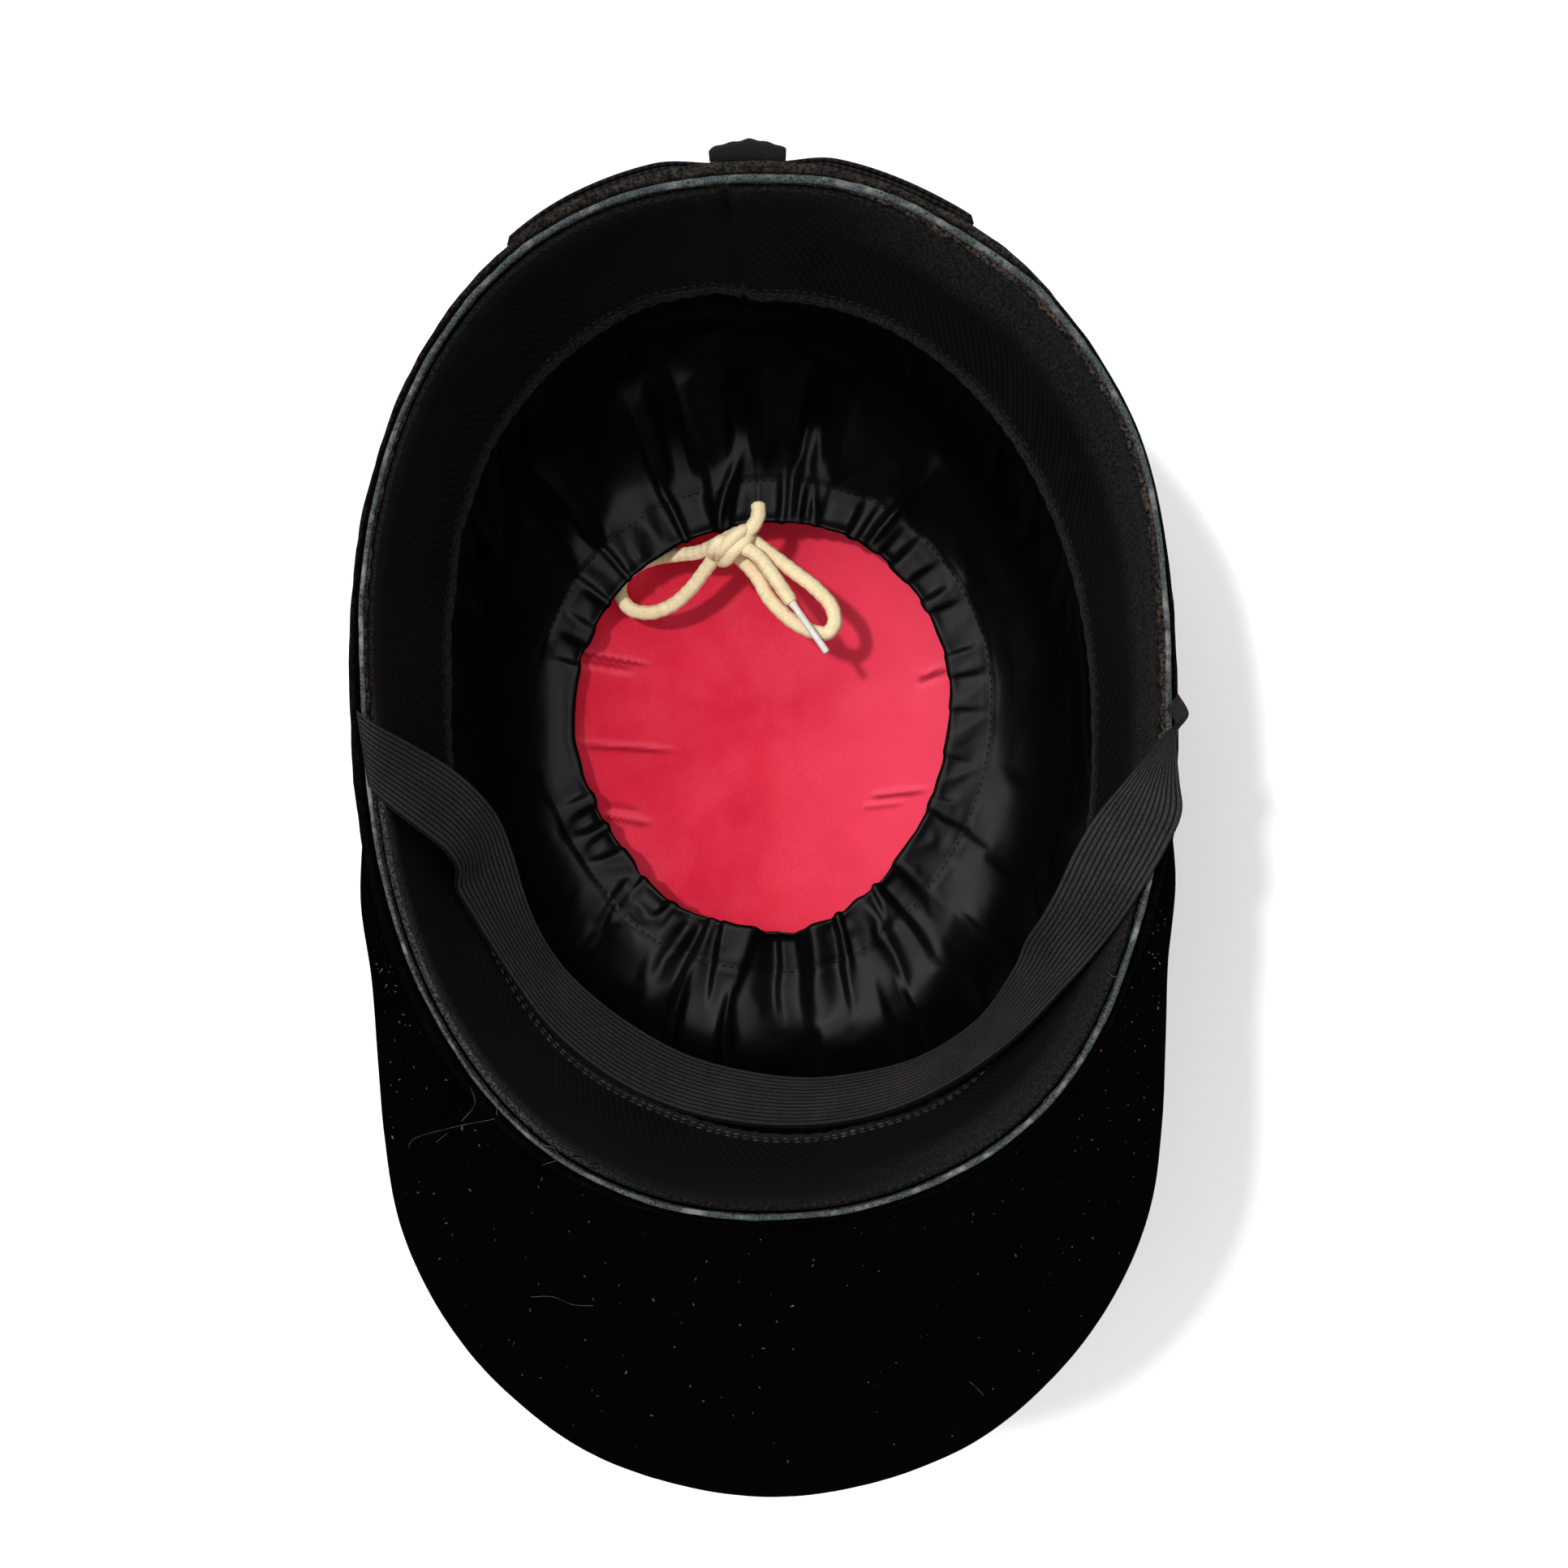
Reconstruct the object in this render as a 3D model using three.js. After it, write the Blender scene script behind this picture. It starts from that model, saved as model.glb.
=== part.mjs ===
import * as THREE from "three";
import { mergeVertices } from "three/addons/utils/BufferGeometryUtils.js";

// A velvet hunt cap, lying upside down on its crown with the opening up.
// Millimetres. +Z is up, +Y the back of the cap, -Y its peak. The origin is straight below the
// middle of the rim, on the patch of velvet that the crown flattens where it rests.
// Depths are counted down from the top of the rim, outward offsets from the crest of its piping.

const capHeight = 126;
const clearance = 0.3; // between pieces that touch on the real cap
const rimCrest = { across: 78, along: 100.2, fullness: 2.3 };

const crown = {
  innerSet: -0.5, // inner face to the crest, so the band and the piping have room
  outerSet: 2.3,
  topDepth: 2.6,
  innerPole: 122.7,
  outerPole: 127.2, // lower than the table: the velvet flattens by the difference
  fullness: 2.6,
  bulge: 1.5,
  forward: 6, // how far the pole lies ahead of the rim's middle
  flareDepth: 14,
  segments: 56,
  rows: 9,
  lastRow: 0.97, // share of the way to the pole
};

// Width of the turned velvet edge outside the piping, by the turn round the rim from +X.
const rimEdge = [
  { turn: -90, width: 1.8 },
  { turn: 0, width: 2.0 },
  { turn: 40, width: 1.6 },
  { turn: 65, width: 1.7 },
  { turn: 90, width: 4.0 },
  { turn: 112, width: 3.6 },
  { turn: 140, width: 2.6 },
  { turn: 180, width: 2.3 },
  { turn: 270, width: 1.8 },
];

// The turned edge in section: reach 1 is the crown's outer face, 0 is beside the piping.
const rimRoll = [
  { reach: 1, depth: 3.4 },
  { reach: 0.93, depth: 2.2 },
  { reach: 0.5, depth: 1.4 },
  { reach: 0, depth: 1.7 },
];
const rimRollStart = 1.35; // clears the piping

const peak = {
  firstTurn: -12, // degrees, where the root leaves the crown at the right temple
  rootDepth: 1.7,
  rootSet: 0.5,
  rootThick: 3.8,
  edgeThick: 3.2,
  hollow: 1,
  reaches: [0, 0.35, 0.7, 0.95], // from the root to the free edge
  noseLevels: [0.3, 0.7], // of the edge's thickness
  sections: 40,
};

// Free edge of the peak from the temple to the front; rise is above the top of the rim.
const peakEdge = [
  { side: 80.9, ahead: 18, rise: -1.7 },
  { side: 78.6, ahead: 38, rise: 0.6 },
  { side: 76.3, ahead: 53, rise: 3 },
  { side: 74.8, ahead: 68, rise: 6 },
  { side: 73.2, ahead: 82, rise: 9 },
  { side: 70.2, ahead: 97, rise: 11.5 },
  { side: 63.4, ahead: 111.5, rise: 14 },
  { side: 51.8, ahead: 126, rise: 16 },
  { side: 32.3, ahead: 140, rise: 17.5 },
  { side: 0, ahead: 147.3, rise: 18 },
];

const piping = { radius: 0.95, sides: 8, segments: 56 };

const band = {
  thick: 1.2,
  top: { across: 76, along: 98.2, fullness: 2.3, x: 0, y: 0 },
  foot: { across: 69.3, along: 89.9, fullness: 2.1, x: 1.2, y: -2.7 },
  segments: 56,
};

// How far the band has leant in from its top line to its foot line at each depth.
const bandLean = [
  { depth: 2.3, lean: 0 },
  { depth: 10, lean: 0.12 },
  { depth: 22, lean: 0.46 },
  { depth: 36, lean: 1 },
  { depth: 38, lean: 1.04 },
];

const lining = {
  top: { x: 1.2, y: -2.7, fullness: 2.1 },
  mouth: { x: -0.5, y: -2.9, fullness: 2 },
  segments: 108,
  foldLift: 0.6, // share of a gather's height that the wall moves
  foldDip: 0.5, // how far the satin dips on both sides of a gather
  foldStart: 0.6, // how drawn the satin is where the shortest gathers begin
};

// The satin from behind the band to its drawn-in mouth; facing 0 is an upright wall, 90 lies flat.
const liningRows = [
  { depth: 34, across: 71.8, along: 92.4, wall: 1, facing: 0, drawn: 0 },
  { depth: 42, across: 71.3, along: 91.6, wall: 1, facing: 6, drawn: 0.05 },
  { depth: 56, across: 69, along: 87.2, wall: 1, facing: 14, drawn: 0.2 },
  { depth: 70, across: 65, along: 79.6, wall: 1, facing: 22, drawn: 0.45 },
  { depth: 81, across: 60.3, along: 70.2, wall: 1.1, facing: 34, drawn: 0.8 },
  { depth: 87.5, across: 55.3, along: 60.4, wall: 1.3, facing: 55, drawn: 1 },
  { depth: 90.4, across: 49.4, along: 53.6, wall: 3, facing: 80, drawn: 0.7 },
  { depth: 92.4, across: 45.6, along: 49.6, wall: 1.2, facing: 88, drawn: 0.35 },
];

// Gathers of the lining: turn and spread in degrees, height of the fold in millimetres, and how
// far it runs from the mouth towards the band, from 0 to 1.
const gathers = [
  { turn: 4, spread: 3.6, height: 1.8, run: 0.35 },
  { turn: 13, spread: 3.4, height: 1.6, run: 0.3 },
  { turn: 22, spread: 3.6, height: 1.8, run: 0.3 },
  { turn: 32, spread: 3.8, height: 1.6, run: 0.35 },
  { turn: 42, spread: 3.8, height: 2, run: 0.4 },
  { turn: 52, spread: 4, height: 2.2, run: 0.5 },
  { turn: 61, spread: 4.2, height: 2.6, run: 0.75 },
  { turn: 78, spread: 4.4, height: 3, run: 1 },
  { turn: 97, spread: 4.2, height: 2.6, run: 0.85 },
  { turn: 107, spread: 3.6, height: 1.8, run: 0.5 },
  { turn: 116, spread: 4.4, height: 2.8, run: 0.85 },
  { turn: 127, spread: 4, height: 2.2, run: 0.6 },
  { turn: 137, spread: 3.8, height: 2, run: 0.45 },
  { turn: 147, spread: 3.6, height: 1.8, run: 0.35 },
  { turn: 157, spread: 3.4, height: 1.8, run: 0.3 },
  { turn: 166, spread: 3.4, height: 1.6, run: 0.3 },
  { turn: 175, spread: 3.6, height: 1.8, run: 0.35 },
  { turn: 185, spread: 3.6, height: 1.6, run: 0.3 },
  { turn: 195, spread: 3.6, height: 1.8, run: 0.35 },
  { turn: 205, spread: 4, height: 2.2, run: 0.4 },
  { turn: 216, spread: 4, height: 2, run: 0.45 },
  { turn: 229, spread: 5, height: 3, run: 0.7 },
  { turn: 242, spread: 4, height: 2, run: 0.6 },
  { turn: 252, spread: 4, height: 2.6, run: 0.9 },
  { turn: 261, spread: 3.6, height: 2.2, run: 0.8 },
  { turn: 272, spread: 4, height: 2.8, run: 1 },
  { turn: 282, spread: 3.8, height: 2.4, run: 0.9 },
  { turn: 293, spread: 4, height: 2.8, run: 0.9 },
  { turn: 303, spread: 3.8, height: 2.4, run: 0.8 },
  { turn: 314, spread: 4, height: 2.2, run: 0.6 },
  { turn: 326, spread: 6, height: 3.2, run: 0.7 },
  { turn: 341, spread: 5.4, height: 2.6, run: 0.6 },
  { turn: 354, spread: 3.8, height: 2, run: 0.4 },
];

const tip = {
  innerSet: -2.8,
  pole: 120.4,
  thick: 1.1,
  middleTurn: 88, // degrees down the dome, of the disc's innermost ring
  edgeTurn: 52.6, // and of its edge
  rows: 5,
  segments: 40,
};

const strap = { thick: 1.2, sections: 64 };

// The elastic from the left of the rim, down round the front and up over the rim at the right.
// Outer is the edge that faces the band, inner the other; the two lie the webbing's width apart.
const strapRoute = [
  { outer: [-78.2, -16.6, 127.2], inner: [-79.0, -1.0, 127.2] },
  { outer: [-75.2, -18.0, 127.2], inner: [-75.4, -2.8, 126.4] },
  { outer: [-70.7, -22.0, 121.4], inner: [-68.6, -7.0, 115.4] },
  { outer: [-65.6, -27.8, 114.2], inner: [-61.3, -12.6, 103.8] },
  { outer: [-63.0, -33.0, 109.0], inner: [-56.1, -21.0, 95.8] },
  { outer: [-61.6, -38.2, 104.8], inner: [-53.5, -29.4, 90.0] },
  { outer: [-59.0, -46.0, 100.0], inner: [-52.4, -38.2, 84.0] },
  { outer: [-55.6, -53.6, 96.4], inner: [-51.2, -44.8, 80.2] },
  { outer: [-47.6, -65.4, 93.0], inner: [-45.8, -55.6, 76.8] },
  { outer: [-35.6, -75.0, 90.4], inner: [-36.4, -65.2, 74.2] },
  { outer: [-23.2, -82.8, 89.4], inner: [-24.6, -72.8, 73.4] },
  { outer: [-10.6, -87.4, 89.4], inner: [-12.4, -78.4, 72.8] },
  { outer: [4.5, -89.4, 90.2], inner: [2.8, -81.6, 73.2] },
  { outer: [21.0, -87.6, 92.2], inner: [18.9, -81.4, 74.4] },
  { outer: [34.8, -81.8, 95.6], inner: [32.2, -77.6, 77.4] },
  { outer: [49.2, -71.2, 101.6], inner: [44.3, -69.0, 83.4] },
  { outer: [60.3, -58.2, 110.2], inner: [51.4, -56.6, 93.6] },
  { outer: [65.2, -51.2, 116.0], inner: [52.6, -50.2, 102.0] },
  { outer: [68.8, -44.6, 123.0], inner: [55.0, -44.4, 110.4] },
  { outer: [72.2, -38.0, 127.6], inner: [57.6, -38.2, 115.6] },
  { outer: [76.6, -30.7, 127.9], inner: [60.2, -31.4, 119.6] },
  { outer: [79.5, -24.0, 128.4], inner: [64.6, -24.4, 120.4] },
  { outer: [79.1, -17.7, 128.4], inner: [70.6, -16.9, 123.4] },
  { outer: [78.8, -12.3, 128.1], inner: [74.2, -12.2, 126.2] },
  { outer: [79.2, -8.6, 127.8], inner: [76.4, -9.2, 127.4] },
  { outer: [81.4, -5.4, 127.5], inner: [78.8, -7.0, 127.5] },
  { outer: [79.6, -1.4, 127.2], inner: [77.2, -4.2, 127.2] },
];

const cord = { radius: 1.65, sides: 8 };
const knot = { centre: [-7.6, 42.2, 37.6], radii: [4.2, 3.5, 3.2], sides: 14, rows: 9 };
const aglet = { from: [7.6, 27.7, 25.4], to: [16.1, 16.6, 21.2], radius: 0.85, sides: 10 };

// Free runs of the drawstring, from the knot outwards.
const leftLoop = [
  [-11.7, 39.2, 34.0],
  [-14.6, 36.2, 31.4],
  [-18.6, 31.8, 28.4],
  [-23.6, 28.2, 25.4],
  [-29.0, 26.8, 24.2],
  [-33.6, 27.8, 24.2],
  [-35.8, 30.8, 24.8],
  [-35.0, 34.4, 25.4],
  [-32.0, 37.2, 25.8],
  [-27.0, 39.2, 26.6],
  [-20.6, 40.2, 27.8],
  [-16.0, 40.8, 30.8],
  [-12.6, 41.6, 34.0],
];
const rightLoop = [
  [-2.9, 42.6, 36.4],
  [1.4, 40.0, 33.2],
  [7.8, 35.4, 28.4],
  [13.6, 30.6, 24.2],
  [17.0, 26.0, 21.2],
  [17.4, 22.0, 19.2],
  [15.4, 19.6, 18.4],
  [11.9, 20.2, 18.2],
  [7.8, 22.6, 18.8],
  [3.6, 26.4, 20.4],
  [0.6, 30.2, 23.6],
  [-1.6, 33.6, 27.6],
  [-4.0, 37.0, 32.2],
];
const freeEnd = [
  [-3.6, 40.2, 39.6],
  [-0.8, 38.4, 38.2],
  [1.8, 35.6, 34.4],
  [4.6, 32.0, 29.4],
  [7.0, 28.4, 25.2],
];
const stub = [
  [-4.2, 44.0, 40.2],
  [-2.2, 45.6, 41.2],
  [-1.0, 48.0, 41.0],
  [-1.0, 51.4, 40.4],
];

const bow = {
  topDepth: 3.6,
  ribbonWide: 20,
  ribbonThick: 1.3,
  leftTip: -45.5,
  rightTip: 43,
  knotFrom: -7.6,
  knotTo: 6.6,
  knotThick: 3.4,
  knotOverhang: 0.8,
  sections: 12,
};

const finishes = {
  velvet: { color: 0x0c0b0d, roughness: 0.95 },
  bandCotton: { color: 0x17171b, roughness: 0.85 },
  wornPiping: { color: 0x4d5557, roughness: 0.85 },
  satin: { color: 0x08080b, roughness: 0.35 },
  redSatin: { color: 0xe0304f, roughness: 0.55 },
  elastic: { color: 0x2b2c2d, roughness: 0.8 },
  cottonCord: { color: 0xe0cda0, roughness: 0.9 },
  agletPlastic: { color: 0xf2efe8, roughness: 0.4 },
  ribbon: { color: 0x151317, roughness: 0.7 },
};

const weldDistance = 1e-3;
const radians = THREE.MathUtils.degToRad;
const lerp = THREE.MathUtils.lerp;
const heightAt = (depth) => capHeight - depth;
const turns = (count) => Array.from({ length: count }, (_, i) => (2 * Math.PI * i) / count);

// A point on an oval at a turn from +X; fullness 2 is an ellipse, and more is squarer.
function onOval(oval, turn) {
  const full = (value) => Math.sign(value) * Math.abs(value) ** (2 / oval.fullness);
  const x = (oval.x ?? 0) + oval.across * full(Math.cos(turn));
  const y = (oval.y ?? 0) + oval.along * full(Math.sin(turn));
  return new THREE.Vector2(x, y);
}

function grownOval(oval, by) {
  return { ...oval, across: oval.across + by, along: oval.along + by };
}

function mixOval(a, b, t) {
  const mixed = {};
  for (const key of Object.keys(a)) mixed[key] = lerp(a[key], b[key], t);
  return mixed;
}

// The value of a table's column between two of its rows, eased so that the line has no corners.
function readTable(rows, key, at, column) {
  const next = Math.max(1, rows.findIndex((row) => row[key] >= at));
  const [a, b] = [rows[next - 1], rows[next]];
  const t = THREE.MathUtils.smoothstep(at, a[key], b[key]);
  return lerp(a[column], b[column], t);
}

function rimWidth(turn) {
  const degrees = THREE.MathUtils.euclideanModulo(THREE.MathUtils.radToDeg(turn) + 90, 360) - 90;
  return readTable(rimEdge, "turn", degrees, "width");
}

const outwards = (turn) => new THREE.Vector2(Math.cos(turn), Math.sin(turn));

const rimPoint = (turn, set) => onOval(rimCrest, turn).addScaledVector(outwards(turn), set);

// A point on a dome of the crown's form, set off from the crest line by so much.
function domePoint(turn, depth, set, pole) {
  const fall = Math.min(1, Math.max(0, depth - crown.topDepth) / (pole - crown.topDepth));
  const scale = (1 - fall ** crown.fullness) ** (1 / crown.fullness);
  const fullness = lerp(rimCrest.fullness, 2, fall);
  const oval = { ...grownOval(rimCrest, set + crown.bulge * Math.sin(Math.PI * fall)), fullness };
  const point = onOval(oval, turn).multiplyScalar(scale);
  point.y -= crown.forward * fall * fall;
  return new THREE.Vector3(point.x, point.y, heightAt(depth));
}

// The crown's outer face, with the turned edge flaring out near the rim.
function outerFace(turn, depth) {
  const point = domePoint(turn, depth, crown.outerSet, crown.outerPole);
  const flare = (rimWidth(turn) - crown.outerSet) * Math.exp(-((depth / crown.flareDepth) ** 2));
  const out = outwards(turn).multiplyScalar(flare);
  return new THREE.Vector3(point.x + out.x, point.y + out.y, Math.max(0, point.z));
}

// Depths that run down a dome in even steps of its curve.
function domeDepth(step, pole) {
  return crown.topDepth + (pole - crown.topDepth) * Math.sin(step) ** (2 / crown.fullness);
}

// A closed solid over rings of points, each ring closed on itself. An endless one joins its last
// ring to its first; any other has both ends capped by a fan about their middle.
function loftSolid(rings, endless = false) {
  const around = rings[0].length;
  const points = rings.flat();
  const faces = [];
  const joins = endless ? rings.length : rings.length - 1;
  for (let i = 0; i < joins; i++) {
    const here = i * around;
    const next = ((i + 1) % rings.length) * around;
    for (let k = 0; k < around; k++) {
      const k2 = (k + 1) % around;
      faces.push([here + k, here + k2, next + k2], [here + k, next + k2, next + k]);
    }
  }
  if (!endless) {
    const capRing = (ring, first, turned) => {
      const middle = new THREE.Vector3();
      ring.forEach((point) => middle.addScaledVector(point, 1 / around));
      const centre = points.push(middle) - 1;
      for (let k = 0; k < around; k++) {
        const pair = [first + k, first + ((k + 1) % around)];
        faces.push(turned ? [pair[1], pair[0], centre] : [pair[0], pair[1], centre]);
      }
    };
    capRing(rings[0], 0, true);
    capRing(rings.at(-1), (rings.length - 1) * around, false);
  }
  const corner = new THREE.Vector3();
  const volume = faces.reduce(
    (sum, [a, b, c]) => sum + points[a].dot(corner.crossVectors(points[b], points[c])),
    0,
  );
  const outward = volume < 0 ? faces.map(([a, b, c]) => [a, c, b]) : faces;
  const geometry = new THREE.BufferGeometry();
  const values = points.flatMap((point) => point.toArray());
  geometry.setAttribute("position", new THREE.Float32BufferAttribute(values, 3));
  geometry.setIndex(outward.flat());
  geometry.computeVertexNormals();
  return geometry;
}

function piece(name, geometry, finish) {
  const material = new THREE.MeshStandardMaterial({ metalness: 0, ...finishes[finish] });
  const mesh = new THREE.Mesh(geometry, material);
  mesh.name = name;
  return mesh;
}

// Shell and velvet as one wall: down the outside, over the turned edge and up the inside.
function velvetCrown() {
  const around = turns(crown.segments);
  const quarter = Math.PI / 2;
  const rings = [];
  for (let i = crown.rows; i >= 1; i--) {
    const step = quarter * Math.min(i / crown.rows, crown.lastRow);
    const depth = domeDepth(step, crown.outerPole);
    rings.push(around.map((turn) => outerFace(turn, depth)));
  }
  for (const { reach, depth } of rimRoll) {
    const atReach = (turn) => rimPoint(turn, lerp(rimRollStart, rimWidth(turn), reach));
    rings.push(around.map(atReach).map((p) => new THREE.Vector3(p.x, p.y, heightAt(depth))));
  }
  for (let i = 0; i <= crown.rows; i++) {
    const step = quarter * Math.min(i / crown.rows, crown.lastRow);
    const depth = domeDepth(step, crown.innerPole);
    rings.push(around.map((turn) => domePoint(turn, depth, crown.innerSet, crown.innerPole)));
  }
  return piece("velvet_crown", loftSolid(rings), "velvet");
}

// The stiff peak: a slanted crescent from the front of the rim, reaching up and forward.
function velvetPeak() {
  const right = peakEdge.map((row) => new THREE.Vector3(row.side, -row.ahead, row.rise));
  const left = right.slice(0, -1).reverse();
  const mirrored = left.map((point) => new THREE.Vector3(-point.x, point.y, point.z));
  const edgeLine = new THREE.CatmullRomCurve3([...right, ...mirrored], false, "centripetal");
  const sections = [];
  for (let i = 0; i <= peak.sections; i++) {
    const share = i / peak.sections;
    const turn = radians(lerp(peak.firstTurn, -180 - peak.firstTurn, share));
    const root = rimPoint(turn, rimWidth(turn) + peak.rootSet);
    const edge = edgeLine.getPointAt(share);
    const face = (reach, thickness) => {
      const hollow = peak.hollow * 4 * reach * (1 - reach) * Math.sin(Math.PI * share);
      const height = capHeight + lerp(-peak.rootDepth, edge.z, reach) - hollow - thickness;
      return new THREE.Vector3(lerp(root.x, edge.x, reach), lerp(root.y, edge.y, reach), height);
    };
    const thickAt = (reach) => lerp(peak.rootThick, peak.edgeThick, reach);
    const under = peak.reaches.map((reach) => face(reach, 0));
    const nose = peak.noseLevels.map((level) => face(1, level * peak.edgeThick));
    const over = peak.reaches.map((reach) => face(reach, thickAt(reach))).reverse();
    sections.push([...under, ...nose, ...over]);
  }
  return piece("peak", loftSolid(sections), "velvet");
}

function rimPiping() {
  const rings = turns(piping.segments).map((turn) =>
    turns(piping.sides).map((side) => {
      const point = rimPoint(turn, piping.radius * Math.cos(side));
      return new THREE.Vector3(point.x, point.y, heightAt(piping.radius * (1 - Math.sin(side))));
    }),
  );
  return piece("rim_piping", loftSolid(rings, true), "wornPiping");
}

// The cotton band inside the rim, leaning in towards its foot.
function sweatband() {
  const ringAt = ({ depth, lean }, grown) => {
    const oval = grownOval(mixOval(band.top, band.foot, lean), grown);
    return turns(band.segments).map((turn) => {
      const point = onOval(oval, turn);
      return new THREE.Vector3(point.x, point.y, heightAt(depth));
    });
  };
  const inner = bandLean.map((row) => ringAt(row, 0));
  const outer = bandLean.map((row) => ringAt(row, band.thick)).reverse();
  return piece("sweatband", loftSolid([...inner, ...outer], true), "bandCotton");
}

// How far the gathers lift the satin at a turn, in millimetres; the fold's sides dip a little.
function gatherHeight(degrees, row) {
  let height = 0;
  for (const fold of gathers) {
    const away = THREE.MathUtils.euclideanModulo(degrees - fold.turn + 180, 360) - 180;
    const across = (away / fold.spread) ** 2;
    const reached = THREE.MathUtils.smoothstep(row.drawn, (1 - fold.run) * lining.foldStart, 1);
    height += fold.height * Math.exp(-across) * (1 - lining.foldDip * across) * reached;
  }
  return height;
}

function satinLining() {
  const last = liningRows.length - 1;
  const shape = (row, i, behind) => {
    const base = mixOval(lining.top, lining.mouth, i / last);
    const slant = radians(row.facing);
    return turns(lining.segments).map((turn) => {
      const point = onOval({ ...base, across: row.across, along: row.along }, turn);
      const gathered = i === last || i === 0 ? 0 : gatherHeight(THREE.MathUtils.radToDeg(turn), row);
      const set = behind - lining.foldLift * gathered;
      point.addScaledVector(outwards(turn), set * Math.cos(slant));
      return new THREE.Vector3(point.x, point.y, heightAt(row.depth) - set * Math.sin(slant));
    });
  };
  const seen = liningRows.map((row, i) => shape(row, i, 0));
  const hidden = liningRows.map((row, i) => shape(row, i, row.wall)).reverse();
  return piece("satin_lining", loftSolid([...seen, ...hidden], true), "satin");
}

// The red disc that lines the top of the crown, dished to lie on it.
function crownTip() {
  const around = turns(tip.segments);
  const ringAt = (share, set, pole) => {
    const step = radians(lerp(tip.middleTurn, tip.edgeTurn, share));
    return around.map((turn) => domePoint(turn, domeDepth(step, pole), set, pole));
  };
  const shares = Array.from({ length: tip.rows }, (_, i) => i / (tip.rows - 1));
  const seen = shares.map((share) => ringAt(share, tip.innerSet, tip.pole));
  const under = shares.map((share) => ringAt(share, tip.innerSet + tip.thick, tip.pole + tip.thick));
  return piece("crown_tip", loftSolid([...seen, ...under.reverse()]), "redSatin");
}

// Flat elastic between its two edge lines.
function chinStrap() {
  const line = (edge) =>
    new THREE.CatmullRomCurve3(strapRoute.map((row) => new THREE.Vector3(...row[edge])));
  const [outer, inner] = [line("outer"), line("inner")];
  const sections = [];
  for (let i = 0; i <= strap.sections; i++) {
    const share = i / strap.sections;
    const [a, b] = [outer.getPoint(share), inner.getPoint(share)];
    const along = outer.getTangent(share).add(inner.getTangent(share));
    const wide = new THREE.Vector3().subVectors(b, a);
    const half = new THREE.Vector3().crossVectors(along, wide).setLength(strap.thick / 2);
    sections.push([
      a.clone().add(half),
      b.clone().add(half),
      b.clone().sub(half),
      a.clone().sub(half),
    ]);
  }
  return piece("chin_strap", loftSolid(sections), "elastic");
}

function cordRun(name, route) {
  const path = new THREE.CatmullRomCurve3(route.map((point) => new THREE.Vector3(...point)));
  const section = new THREE.Shape().absarc(0, 0, cord.radius, 0, 2 * Math.PI);
  const steps = Math.ceil(path.getLength() / (2 * cord.radius));
  const options = { extrudePath: path, steps, curveSegments: cord.sides / 2, bevelEnabled: false };
  return piece(name, new THREE.ExtrudeGeometry(section, options), "cottonCord");
}

function drawstringKnot() {
  const geometry = new THREE.SphereGeometry(1, knot.sides, knot.rows);
  const mesh = piece("drawstring_knot", geometry, "cottonCord");
  mesh.scale.set(...knot.radii);
  mesh.position.set(...knot.centre);
  return mesh;
}

function agletTube() {
  const [from, to] = [new THREE.Vector3(...aglet.from), new THREE.Vector3(...aglet.to)];
  const along = new THREE.Vector3().subVectors(to, from);
  const geometry = new THREE.CylinderGeometry(aglet.radius, aglet.radius, along.length(), aglet.sides);
  const mesh = piece("drawstring_aglet", geometry, "agletPlastic");
  mesh.position.copy(from).lerp(to, 0.5);
  mesh.quaternion.setFromUnitVectors(new THREE.Vector3(0, 1, 0), along.normalize());
  return mesh;
}

// The turn at which the crest line, on the back of the cap, has this X.
function backTurn(x) {
  const share = Math.abs(x) / rimCrest.across;
  const turn = Math.acos(share ** (rimCrest.fullness / 2));
  return x < 0 ? Math.PI - turn : turn;
}

// A strip of flat ribbon that lies along the back of the crown from one X to another.
function ribbonStrip(name, fromX, toX, set, thick, overhang) {
  const sections = [];
  const topDepth = bow.topDepth - overhang;
  const footDepth = bow.topDepth + bow.ribbonWide + overhang;
  for (let i = 0; i <= bow.sections; i++) {
    const turn = backTurn(lerp(fromX, toX, i / bow.sections));
    const at = (depth, out) => {
      const face = outerFace(turn, depth);
      const side = outwards(turn).multiplyScalar(out);
      return new THREE.Vector3(face.x + side.x, face.y + side.y, face.z);
    };
    const middle = (topDepth + footDepth) / 2;
    const depths = [topDepth, middle, footDepth];
    const near = depths.map((depth) => at(depth, set));
    const far = depths.map((depth) => at(depth, set + thick)).reverse();
    sections.push([...near, ...far]);
  }
  return piece(name, loftSolid(sections), "ribbon");
}

function bowPieces() {
  const set = clearance;
  const part = (name, from, to) => ribbonStrip(name, from, to, set, bow.ribbonThick, 0);
  const { leftTip, rightTip, knotFrom, knotTo } = bow;
  return [
    part("bow_left", leftTip, knotFrom - clearance),
    part("bow_right", knotTo + clearance, rightTip),
    ribbonStrip("bow_knot", knotFrom, knotTo, set, bow.knotThick, bow.knotOverhang),
  ];
}

const huntCap = new THREE.Group();
huntCap.add(
  velvetCrown(),
  velvetPeak(),
  rimPiping(),
  sweatband(),
  satinLining(),
  crownTip(),
  chinStrap(),
  cordRun("drawstring_left_loop", leftLoop),
  cordRun("drawstring_right_loop", rightLoop),
  cordRun("drawstring_free_end", freeEnd),
  cordRun("drawstring_stub", stub),
  drawstringKnot(),
  agletTube(),
  ...bowPieces(),
);
for (const mesh of huntCap.children) {
  mesh.geometry.deleteAttribute("uv");
  mesh.geometry.deleteAttribute("normal");
  mesh.geometry = mergeVertices(mesh.geometry, weldDistance);
  mesh.geometry.computeVertexNormals();
}

export default huntCap;
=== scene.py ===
import math
import random

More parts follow.
